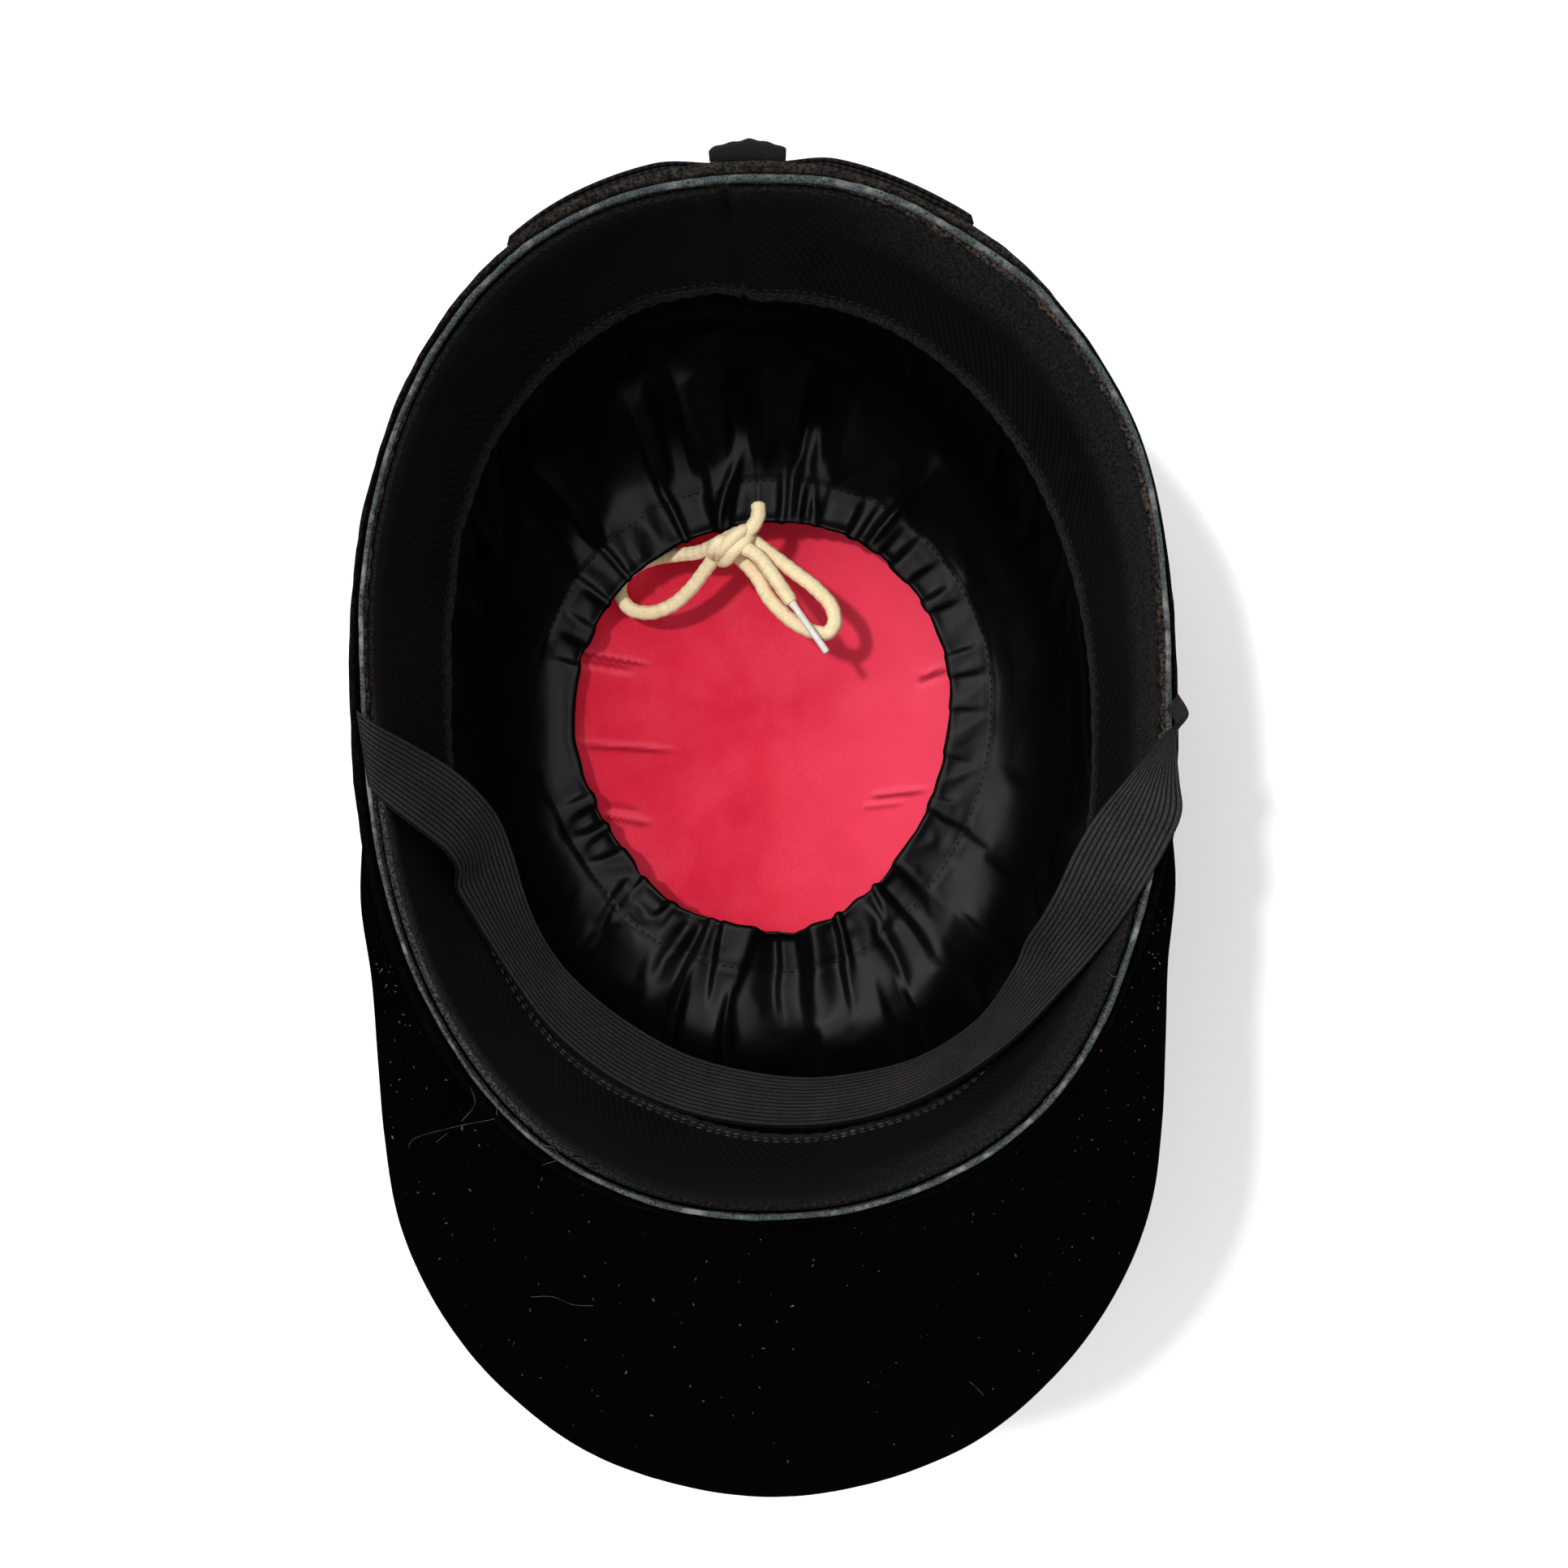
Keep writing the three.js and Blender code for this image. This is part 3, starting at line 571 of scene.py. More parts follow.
# The cap's form: ovals about the rim, and a dome
rimCrest = {"across": 78 * mm, "along": 100.2 * mm, "fullness": 2.3}
crown = {
    "innerSet": -0.5 * mm,
    "outerSet": 2.3 * mm,
    "topDepth": 2.6 * mm,
    "innerPole": 122.7 * mm,
    "outerPole": 127.2 * mm,
    "fullness": 2.6,
    "bulge": 1.5 * mm,
    "forward": 6 * mm,
    "flareDepth": 14 * mm,
    "lumps": 0.16 * mm,
    "rollLumps": 0.28 * mm,
    "columns": 300,
    "outerRows": 64,
    "rollRows": 14,
    "innerRows": 26,
}
rimEdge = table("turn width", [
    (-90, 1.8 * mm), (-30, 1.9 * mm), (-12, 2.7 * mm), (0, 2.2 * mm), (24, 2.5 * mm), (40, 1.9 * mm),
    (65, 1.9 * mm), (90, 4.0 * mm), (112, 3.6 * mm), (140, 2.6 * mm), (180, 2.3 * mm), (270, 1.8 * mm),
])
# round the rim: how far the piping lies out of the oval
rimSway = table("turn out", [
    (-90, 0.2 * mm), (-70, -0.4 * mm), (-49, 0.1 * mm), (-22, -0.9 * mm), (0, 0.3 * mm), (24, 1.6 * mm),
    (46, -0.1 * mm), (60, -1.4 * mm), (84, 0), (128, 0.3 * mm), (163, 0.2 * mm), (190, -1.1 * mm),
    (219, -1.5 * mm), (242, -0.8 * mm), (270, 0.2 * mm),
])
rimRoll = [Vector(point) for point in (
    # reach out from the piping, depth in millimetres
    (1.0, 3.4, 0), (0.99, 2.7, 0), (0.92, 2.0, 0), (0.76, 1.55, 0), (0.5, 1.35, 0), (0.22, 1.45, 0),
    (0.02, 1.75, 0),
)]
rollStart = 1.35 * mm
crownRows = crown["outerRows"] + crown["rollRows"] + crown["innerRows"]


def onOval(oval, turn, grown=0):
    full = 2 / oval["fullness"]
    cosine, sine = math.cos(turn), math.sin(turn)
    x = oval.get("x", 0) + (oval["across"] + grown) * math.copysign(abs(cosine) ** full, cosine)
    y = oval.get("y", 0) + (oval["along"] + grown) * math.copysign(abs(sine) ** full, sine)
    return Vector((x, y, 0))


def outwards(turn):
    return Vector((math.cos(turn), math.sin(turn), 0))


def roundRim(rows, turn, column):
    # a table whose turns run from the front, -90 degrees, once round
    return readRows(rows, "turn", (math.degrees(turn) + 90) % 360 - 90, column)


def rimWidth(turn):
    return roundRim(rimEdge, turn, "width")


def rimPoint(turn, out, depth=0):
    point = onOval(rimCrest, turn) + outwards(turn) * out
    point.z = rimHeight - depth
    return point


def domePoint(turn, depth, out, pole):
    fall = min(1, max(0, depth - crown["topDepth"]) / (pole - crown["topDepth"]))
    scale = (1 - fall ** crown["fullness"]) ** (1 / crown["fullness"])
    oval = dict(rimCrest, fullness=mix(rimCrest["fullness"], 2, fall))
    point = onOval(oval, turn, out + crown["bulge"] * math.sin(math.pi * fall)) * scale
    point.y -= crown["forward"] * fall * fall
    point.z = rimHeight - depth
    return point


def outerFace(turn, depth):
    flare = (rimWidth(turn) - crown["outerSet"]) * math.exp(-((depth / crown["flareDepth"]) ** 2))
    point = domePoint(turn, depth, crown["outerSet"], crown["outerPole"]) + outwards(turn) * flare
    point.z = max(0, point.z)
    return point


def domeDepth(step, pole):
    return crown["topDepth"] + (pole - crown["topDepth"]) * math.sin(step) ** (2 / crown["fullness"])


def crownPlace(u, v):
    # from the pole up the outside, over the turned edge and down the inside
    turn = 2 * math.pi * u
    row = v * crownRows
    past = row - crown["outerRows"]
    if past < 0:
        step = math.pi / 2 * (1 - row / crown["outerRows"])
        point = outerFace(turn, domeDepth(step, crown["outerPole"]))
        rough = crown["lumps"]
    elif past <= crown["rollRows"]:
        roll = splinePoint(rimRoll, past / crown["rollRows"])
        innerEnd = rollStart + roundRim(rimSway, turn, "out")
        point = rimPoint(turn, mix(innerEnd, rimWidth(turn), roll.x), roll.y * mm)
        rough = crown["rollLumps"] * roll.x
    else:
        step = math.pi / 2 * (past - crown["rollRows"]) / crown["innerRows"]
        return domePoint(turn, domeDepth(step, crown["innerPole"]), crown["innerSet"], crown["innerPole"])
    lump = grain(point, 7 * mm, 1) + 0.6 * grain(point, 2.2 * mm, 2)
    resting = ease(point.z, 0, 4 * mm)
    return point + outwards(turn) * lump * rough * resting


velvet = cottonVelvet()
crownForm = clothForm(crown["columns"], crownRows, crownPlace)
velvetCrown = addPiece("velvetCrown", crownForm, velvet, ("velvet_crown",))


def crownWear(place):
    # rubbed along the turned edge, most at the back
    high = ease(place.z, rimHeight - 7 * mm, rimHeight - 1.5 * mm)
    back = ease(place.y, -0.03, 0.085)
    leftSide = ease(-place.x, 0.03, 0.06)
    return high * mix(0.05, 0.85, back) * (1 - 0.4 * leftSide)


paintPoints(velvetCrown, "worn", crownWear)
print("crown done")

# Peak
peak = {
    "firstTurn": -12,
    "rootDepth": 1.7 * mm,
    "rootOut": 0.05 * mm,
    "tuckedIn": 1.6 * mm,  # its ends run in under the crown's edge and get thin
    "endThinned": 0.15,
    "rootThick": 3.8 * mm,
    "edgeThick": 3.2 * mm,
    "hollow": 1 * mm,
    "columns": 260,
    "faceRows": 34,
    "noseRows": 10,
    "rootRows": 2,
    "taper": 0.05,
}
peakEdge = table("side ahead rise", [
    (78.4, 26.5, -1.7), (78.6, 38, 0.6), (76.3, 53, 3), (74.8, 68, 6), (73.2, 82, 9), (70.2, 97, 11.5),
    (63.4, 111.5, 14), (51.8, 126, 16), (32.3, 140, 17.5), (0, 147.3, 18),
])
rightEdge = [Vector((row["side"], -row["ahead"], row["rise"])) * mm for row in peakEdge]
leftEdge = [Vector((-point.x, point.y, point.z)) for point in reversed(rightEdge[:-1])]
peakLine = evenLine(rightEdge + leftEdge, peak["columns"])
peakRows = 2 * peak["faceRows"] + peak["noseRows"] + peak["rootRows"]


def peakPlace(u, v):
    # u from the right temple round to the left; v over the lower face, round the edge and back
    turn = math.radians(mix(peak["firstTurn"], -180 - peak["firstTurn"], u))
    grown = ease(min(u, 1 - u), 0, peak["taper"])
    root = rimPoint(turn, rimWidth(turn) + peak["rootOut"] - peak["tuckedIn"] * (1 - grown))
    edge = peakLine[round(u * peak["columns"])]
    out = Vector((edge.x - root.x, edge.y - root.y, 0))
    wide = max(out.length, 0.1 * mm)
    out = out / wide
    thinned = mix(peak["endThinned"], 1, grown)
    rootThick, edgeThick = peak["rootThick"] * thinned, peak["edgeThick"] * thinned
    nose = min(edgeThick / 2, wide / 2)
    row = v * peakRows
    upperRow = row - peak["faceRows"] - peak["noseRows"]
    if row <= peak["faceRows"]:
        reach = row / peak["faceRows"]
        drop = 0
    elif row < peak["faceRows"] + peak["noseRows"]:
        swing = math.pi * (row - peak["faceRows"]) / peak["noseRows"]
        reach = 1
        drop = edgeThick * (1 - math.cos(swing)) / 2
    elif upperRow <= peak["faceRows"]:
        reach = 1 - upperRow / peak["faceRows"]
        drop = mix(rootThick, edgeThick, reach)
    else:
        reach = 0
        drop = rootThick * (1 - (upperRow - peak["faceRows"]) / peak["rootRows"])
    span = (wide - nose) * reach
    if peak["faceRows"] < row < peak["faceRows"] + peak["noseRows"]:
        span += nose * math.sin(swing)
    share = span / wide
    hollow = peak["hollow"] * 4 * share * (1 - share) * math.sin(math.pi * u)
    point = root + out * span
    point.z = rimHeight + mix(-peak["rootDepth"], edge.z, share) - hollow - drop
    plan = root + out * span
    lump = grain(plan, 11 * mm, 5) * 0.18 * mm + grain(plan, 2.4 * mm, 6) * 0.09 * mm
    return point + Vector((0, 0, lump))


peakForm = clothForm(peak["columns"], peakRows, peakPlace)
closeForm(peakForm)
velvetPeak = addPiece("velvetPeak", peakForm, velvet, ("peak",))
paintPoints(velvetPeak, "worn", lambda place: 0.0)
print("peak done")

# Piping
piping = {"radius": 0.95 * mm, "columns": 720, "sides": 14}
pipingWidth = table("turn share", [
    (-90, 0.55), (-30, 0.6), (20, 0.6), (60, 0.75), (85, 0.8), (110, 0.65), (160, 0.5), (190, 0.45),
    (225, 0.35), (270, 0.55),
])


def pipingPlace(u, v):
    turn = 2 * math.pi * u
    side = 2 * math.pi * v
    wide = roundRim(pipingWidth, turn, "share") * piping["radius"]
    at = onOval(rimCrest, turn)
    skin = at + Vector((0, math.cos(side) * mm, math.sin(side) * mm))
    frayed = 1 + 0.16 * grain(skin, 1.3 * mm, 8) + 0.14 * grain(at, 5 * mm, 9)
    sway = roundRim(rimSway, turn, "out") + 0.2 * mm * grain(at, 9 * mm, 10)
    reach = wide * frayed
    point = at + outwards(turn) * (sway + reach * math.cos(side))
    point.z = rimHeight - piping["radius"] + reach * math.sin(side)
    return point


pipingForm = clothForm(piping["columns"], piping["sides"], pipingPlace)
addPiece("rimPiping", pipingForm, wornPipingCotton(), ("rim_piping",))

# The worn tape that holds the piping, seen as a ragged strip inside it
tape = {
    "columns": 900,
    "rows": 3,
    "thick": 0.25 * mm,
    "inside": 0.3 * mm,
    "depth": 1.2 * mm,
    "slope": 0.7 * mm,
}
tapeWidth = table("turn wide", [
    (-90, 0.15 * mm), (-30, 0.3 * mm), (5, 1.2 * mm), (60, 1.3 * mm), (88, 0.3 * mm), (130, 0.2 * mm),
    (180, 0.7 * mm), (205, 0.2 * mm), (270, 0.15 * mm),
])


def tapePlace(u, v):
    turn = 2 * math.pi * u
    at = onOval(rimCrest, turn)
    ragged = 1 + 0.5 * grain(at, 1.1 * mm, 31) + 0.5 * grain(at, 3 * mm, 32)
    reach = roundRim(tapeWidth, turn, "wide") * ragged
    point = at + outwards(turn) * (roundRim(rimSway, turn, "out") - tape["inside"] - v * reach)
    fluff = 0.15 * mm * grain(at + outwards(turn) * v * mm, 0.7 * mm, 33)
    point.z = rimHeight - tape["depth"] - v * tape["slope"] + fluff
    return point


tapeForm = clothForm(tape["columns"], tape["rows"], tapePlace)
thicken(addPiece("pipingTape", tapeForm, wornTapeCotton()), tape["thick"], 0)
print("piping done")

# Sweatband
band = {
    "thick": 1.1 * mm,
    "top": {"across": 76, "along": 98.2, "fullness": 2.3, "x": 0, "y": 0},
    "foot": {"across": 69.3, "along": 89.9, "fullness": 2.1, "x": 1.2, "y": -2.7},
    "seamTurn": 92.5,
    "seamHalf": 0.45,
    "seamDeep": 1.2 * mm,
    "puckers": 118,
    "columns": 420,
    "rows": 40,
}
bandLean = table("depth lean", [
    (2.3, 0), (10, 0.12), (22, 0.46), (36, 1), (38, 1.04),
])
# how far the foot lies out of its oval, in millimetres
footSway = table("turn out", [
    (0, -0.6), (50, -1), (90, -0.2), (98, 2.4), (110, 3.7), (140, 4.2), (153, 2.9), (164, 0.8),
    (176, -0.6), (224, 0), (252, -1.8), (280, -0.2), (302, 2.6), (345, 0), (360, -0.6),
])
bandCurve = [Vector((row["depth"], row["lean"], 0)) for row in bandLean]


def footShift(turn):
    return readRows(footSway, "turn", math.degrees(turn) % 360, "out")


def bandPoint(turn, share, lift=0):
    row = splinePoint(bandCurve, share)
    oval = {key: mix(band["top"][key], band["foot"][key], row.y) for key in band["top"]}
    for key in ("across", "along", "x", "y"):
        oval[key] *= mm
    at = onOval(oval, turn)
    wave = 0.5 * mm * grain(at, 24 * mm, 12) * math.sin(math.pi * share)
    gathered = math.sin(turn * band["puckers"] + 3 * grain(at, 12 * mm, 13))
    pucker = 0.14 * mm * gathered * ease(share, 0.82, 0.95)
    seam = (math.degrees(turn) - band["seamTurn"]) / band["seamHalf"]
    groove = -band["seamDeep"] * math.exp(-seam * seam)
    swayed = mix(roundRim(rimSway, turn, "out"), footShift(turn) * mm, row.y)
    point = at + outwards(turn) * (swayed - (wave + pucker + groove + lift))
    point.z = rimHeight - row.x * mm
    return point


bandForm = clothForm(band["columns"], band["rows"], lambda u, v: bandPoint(2 * math.pi * u, v))
# the "frayed" value: paler along the top at the left front, a pale line at the foot, and painted light on the
# upper right side
frayAndLightShare = bandForm.verts.layers.float.new("frayed")
for vert in bandForm.verts:
    depth = rimHeight - vert.co.z
    temple = ease(-vert.co.x, 0.02, 0.06) * ease(-vert.co.y, -0.005, 0.02)
    # painted light: the upper band on the right, which faces the lamps, is made paler
    paintedLightRightBand = (0.24 * ease(vert.co.x, 0.005, 0.045) * ease(depth, 1 * mm, 5 * mm)
                   * (1 - ease(depth, 12 * mm, 20 * mm)))
    foot = 0.35 * ease(depth, 33.5 * mm, 35.5 * mm)
    vert[frayAndLightShare] = mix(0.12, 0.8, temple) * (1 - ease(depth, 2.5 * mm, 9 * mm)) + paintedLightRightBand + foot
twill = cottonTwill(540 * mm, 40 * mm)
sweatband = addPiece("cottonSweatband", bandForm, twill, ("sweatband",))
thicken(sweatband, band["thick"], -1)
print("sweatband done")

# Satin lining: gathered on the drawstring at its mouth
liningRows = table("run depth across along facing part", [
    # run: millimetres of satin from the mouth's edge; facing 0 is an upright wall, 90 lies flat
    (-5.5, 94.6, 50.6, 54.8, -92, 1),
    (-1.2, 94.0, 46.2, 50.2, -60, 1),
    (0.0, 92.9, 45.6, 49.6, 0, 1),
    (1.2, 92.0, 46.4, 50.4, 70, 0.98),
    (5, 91.2, 50.2, 54.3, 82, 0.92),
    (10.5, 90.6, 55.5, 60.0, 78, 0.84),
    (16, 87.2, 59.8, 65.4, 56, 0.75),
    (24, 81.8, 65.4, 73.2, 50, 0.62),
    (32, 75.8, 70.0, 79.6, 44, 0.5),
    (40, 69.0, 71.1, 85.8, 32, 0.38),
    (45, 64.6, 71.2, 88.8, 22, 0.31),
    (50, 60.0, 71.3, 90.8, 12, 0.24),
    (60, 50.6, 71.4, 92.0, 3, 0.12),
    (69, 42.2, 71.5, 92.1, 2, 0.04),
    (78, 34, 71.6, 92.2, 2, 0),
])
# round the mouth: how far it lies out of its oval, in millimetres
mouthLine = table("turn out", [
    (0, -1.3), (10, 0), (20, 1.0), (40, 1.5), (60, 1.7), (72, 0.7), (90, 0), (105, -0.5), (120, 0.5),
    (145, 1.4), (160, 1.6), (180, 1.3), (190, 0.3), (200, -1.2), (212, -1.8), (221, -1.8), (228, -1.0),
    (240, -0.6), (250, -1.4), (260, -0.9), (270, -1.2), (280, -0.1), (290, -0.7), (300, -1.7),
    (310, -2.7), (325, -3.0), (340, -2.5), (350, -2.0), (360, -1.3),
])
# how far the satin lies flat beyond the casing before it rises, in millimetres
shelf = table("turn reach", [
    (0, 1.5), (10, 2), (20, 0.5), (30, 0.5), (34, 3), (38, 2), (42, 0.5), (52, 0.5), (57, 3), (62, 0.5),
    (72, 1), (75.5, 6), (78.2, 18), (80.4, 18), (82.2, 3), (89.4, 2), (90.2, 6), (91.4, 6), (92.6, 12),
    (95.5, 13), (98, 7), (104, 3), (105.6, 4), (106.6, 12), (110, 12), (111.5, 5), (114.5, 4),
    (116, 10), (124, 10), (130, 6), (132, 0.5), (134, 0.5), (136, 10), (139, 9), (141, 1.5), (150, 1),
    (165, 3), (168, 1.5), (180, 0.5), (195, 0.5), (198, 5), (203, 3), (205, 0.5), (215, 2), (220, 10),
    (224, 14), (226.5, 6), (229, 0.5), (238, 4), (242, 13), (246, 8), (249, 1.5), (251, 20), (257, 22),
    (260, 4), (263, 24), (269, 26), (273, 20), (277, 12), (279.5, 30), (291, 32), (294, 12),
    (297.5, 12), (299.5, 36), (308, 34), (311, 10), (317, 8), (320, 20), (329, 19), (331, 10),
    (334, 17), (344, 10), (351, 3), (360, 1.5),
])
# folds where the satin drops steeply: turn, lean and width in degrees, depth and reach in millimetres;
# the steep side lies towards larger turns, or smaller ones where steep is -1
drops = table("turn lean wide deep reach steep", [
    (3, -1, 1.8, 1.3, 10, 1), (12, -1, 1.8, 1.5, 10, 1), (20, -1, 1.6, 1.4, 9, -1),
    (31, -2.5, 2.2, 1.8, 10, 1), (36.3, -1.5, 1.3, 1.2, 8, -1), (41, -1.5, 2.2, 1.8, 10, 1),
    (50.2, -1.5, 2, 2, 11, -1), (53.2, -1.5, 1.1, 1.3, 9, 1), (60.6, -1, 1.4, 2, 11, 1),
    (65, 0, 1.6, 2, 10, -1), (71.7, 0, 2.8, 2.4, 12, 1), (76.8, 0.6, 2.2, 2, 12, 1),
    (82, 0, 2, 2.2, 16, 1), (86.5, 0, 4, 2.4, 14, -1), (98.5, -4, 1.6, 2, 14, 1),
    (105, -1, 1.8, 2.6, 20, -1), (111.6, 0, 1.8, 2.2, 18, 1), (114.8, 1, 1.6, 1.8, 18, -1),
    (127, 0, 2, 1.2, 8, 1), (132, -1, 2, 2.2, 16, 1), (134.6, -0.5, 1.2, 1.5, 13, -1),
    (141, 0, 1.7, 1.9, 14, 1), (144.4, 0, 1.6, 1.4, 8, -1), (149.3, 0, 2, 1.6, 9, 1),
    (157, 0, 2, 1.6, 9, -1), (160, 2, 1.4, 1.6, 12, 1), (196, 1.5, 1.7, 1.5, 10, 1),
    (202, 1, 2, 1.7, 9, -1), (205.7, -1, 1.9, 1.7, 11, 1), (210, 0.5, 1.8, 1.7, 9, -1),
    (215, -2, 1.8, 1.3, 10, 1), (225.6, 0.8, 1.5, 2.2, 16, 1), (230, 0, 3.2, 1.2, 6, -1),
    (236.5, -1, 1.5, 1.3, 7, 1), (241, -2, 1.6, 1.3, 9, -1), (249.6, -4, 2.6, 2.6, 24, 1),
    (254, 0.6, 1.2, 1.9, 20, 1), (267.5, -7, 3, 2.2, 24, -1), (271.3, -1, 1.6, 2.8, 24, 1),
    (276.4, -1.5, 3, 2.6, 26, 1), (279.6, -6, 3.4, 2.4, 32, 1), (289, -4.5, 1.7, 2.6, 24, 1),
    (293, -2.5, 1.7, 2.2, 13, -1), (303.5, -2, 1.9, 1.9, 9, 1), (307.4, 1.5, 2.2, 3, 28, -1),
    (312.5, 0, 2.8, 1.3, 12, 1), (326, -1, 4, 1, 16, 1), (332.5, -1, 3, 1.8, 22, 1),
    (339, 0, 1.6, 0.8, 7, -1), (350, -1, 1.8, 1.1, 9, 1),
])
# swells along the wall under the band's foot: middle turn and half width in degrees
wallSwells = table("turn half run wide height", [
    (5, 13, 61, 5, 1.6),
    (97, 17, 54, 7, 1.2),
])
# ridges that run out from the mouth
ridges = table("turn lean spread height reach", [
    (57.8, -4.6, 1.2, 2.4, 27),
    (103.8, -9.5, 1.3, 1.8, 20),
    (79.6, -0.6, 1.7, 2.2, 34),
    (74.2, 4, 1.1, 1.6, 15),
    (246.5, -5, 2.4, 2.0, 26),
    (224.6, 1.4, 1.6, 2.0, 24),
    (301, -2.5, 2.2, 1.8, 34),
])
lining = {
    "thick": 0.35 * mm,
    "columns": 480,
    "rows": 84,
    "stitchRun": 10.5,  # millimetres from the mouth to the casing's seam
    "closeRows": 1.35,  # above 1, more rows lie near the mouth
    "shelfSlope": 0.17,
    "behindRise": 10,
    "backReach": 4,  # at the back the folds even out to this as the wall rises
    "backEvened": 0.85,
    "clear": 4.2,  # millimetres that it keeps from the shell
    "seamTurn": 91.7,
    "seamHalf": 0.45,
    "sagTurn": 190,  # on the left the mouth hangs nearer to the crimson tip
    "sagHalf": 48,
    "sag": 7,
    "sagOut": 0.75,
    "cutMouth": 0.400,
    "cutTop": 0.545,
    "cutDeep": 78,
}
liningSettling = {
    "frames": 24,
    "gravity": 0.05,
    "furthest": 6 * mm,
    "cloth": {
        "quality": 6, "mass": 0.2, "air_damping": 2,
        "tension_stiffness": 40, "compression_stiffness": 40, "shear_stiffness": 10,
        "tension_damping": 10, "compression_damping": 10, "shear_damping": 10,
        "bending_stiffness": 0.6, "bending_damping": 0.5,
    },
}
liningCurves = {
    key: [Vector((row["run"], row[key], 0)) for row in liningRows] for key in liningRows[0] if key != "run"
}


def liningValue(key, run):
    for i in range(len(liningRows) - 1):
        if run <= liningRows[i + 1]["run"] or i == len(liningRows) - 2:
            span = (run - liningRows[i]["run"]) / (liningRows[i + 1]["run"] - liningRows[i]["run"])
            return splinePoint(liningCurves[key], (i + span) / (len(liningRows) - 1)).y


def ringNoise(degrees, run, size, seed):
    # noise that closes on itself round the ring; size in millimetres at the mouth
    turned = outwards(math.radians(degrees)) * (47 / size)
    return noise.noise(turned + Vector((seed, 0, run / size)))


def turnAway(degrees, turn):
    return (degrees - turn + 180) % 360 - 180


def onSwell(swell, degrees, run):
    away = turnAway(degrees, swell["turn"]) / swell["half"]
    past = (run - swell["run"]) / swell["wide"]
    return math.exp(-away ** 4 - past * past)


def gatherLift(degrees, run):
    # height of the folds in millimetres over the smooth wall
    swayed = degrees + 0.9 * ringNoise(degrees, run, 9, 2) * ease(run, 3, 14)
    lift = 0
    for ridge in ridges:
        if run < ridge["reach"] * 1.15:
            away = turnAway(swayed, ridge["turn"] + ridge["lean"] * max(0, run) / ridge["reach"])
            crest = math.exp(-abs(away / ridge["spread"]) ** 2.2)
            lift += (ridge["height"] * crest * ease(run, 0, 6)
                     * (1 - ease(run, ridge["reach"] * 0.6, ridge["reach"] * 1.1)))
    for drop in drops:
        if run < drop["reach"] * 1.3:
            away = turnAway(swayed, drop["turn"] + drop["lean"] * max(0, run) / drop["reach"]) * drop["steep"]
            across = away / (drop["wide"] * (0.6 if away > 0 else 2.4))
            if abs(across) < 2.6:
                groove = math.exp(-across * across) * mix(0.4, 1, ease(run, 0, 4))
                lift -= drop["deep"] * groove * (1 - ease(run, drop["reach"] * 0.55, drop["reach"] * 1.25))
    for swell in wallSwells:
        lift += swell["height"] * onSwell(swell, degrees, run)
    lift += 0.4 * ringNoise(degrees, run * 0.6, 4.5, 5) * math.exp(-((run - 6) / 6) ** 2)
    calm = 1 - 0.7 * math.exp(-(turnAway(degrees, 95) / 40) ** 4)
    lift += 0.9 * calm * ringNoise(degrees, run, 20, 14) * ease(run, 12, 25) * (1 - ease(run, 60, 74))
    lift -= 0.6 * math.exp(-((run - lining["stitchRun"]) / 0.65) ** 2)
    return lift


def liningDepth(degrees, run):
    past = run - lining["stitchRun"]
    if past <= 0:
        return liningValue("depth", run)
    atBack = ease(math.sin(math.radians(degrees)), 0.3, 0.8)
    evened = lining["backEvened"] * atBack * ease(run, 22, 38)
    reach = mix(readRows(shelf, "turn", degrees % 360, "reach"), lining["backReach"], evened)
    flat = past * reach / (past ** 4 + reach ** 4) ** 0.25
    span = lining["cutDeep"] - lining["stitchRun"]
    rising = (past - flat) / (span - reach * span / (span ** 4 + reach ** 4) ** 0.25)
    steeper = (lining["behindRise"] * math.sin(math.pi * min(1, rising * 1.3))
               * ease(math.sin(math.radians(degrees)), 0, 0.8))
    shelfRise = lining["shelfSlope"] * flat * (1 - rising)
    return liningValue("depth", lining["stitchRun"] + rising * span) - shelfRise - steeper


def shellDepth(point):
    # how deep the shell's inner side lies under a point of the plan
    turn = math.atan2(point.y / rimCrest["along"], point.x / rimCrest["across"])
    share = min(1, point.length / (onOval(rimCrest, turn).length + crown["bulge"] * 0.8))
    fall = (1 - share ** crown["fullness"]) ** (1 / crown["fullness"])
    return (crown["topDepth"] + (crown["innerPole"] - crown["topDepth"]) * fall) / mm


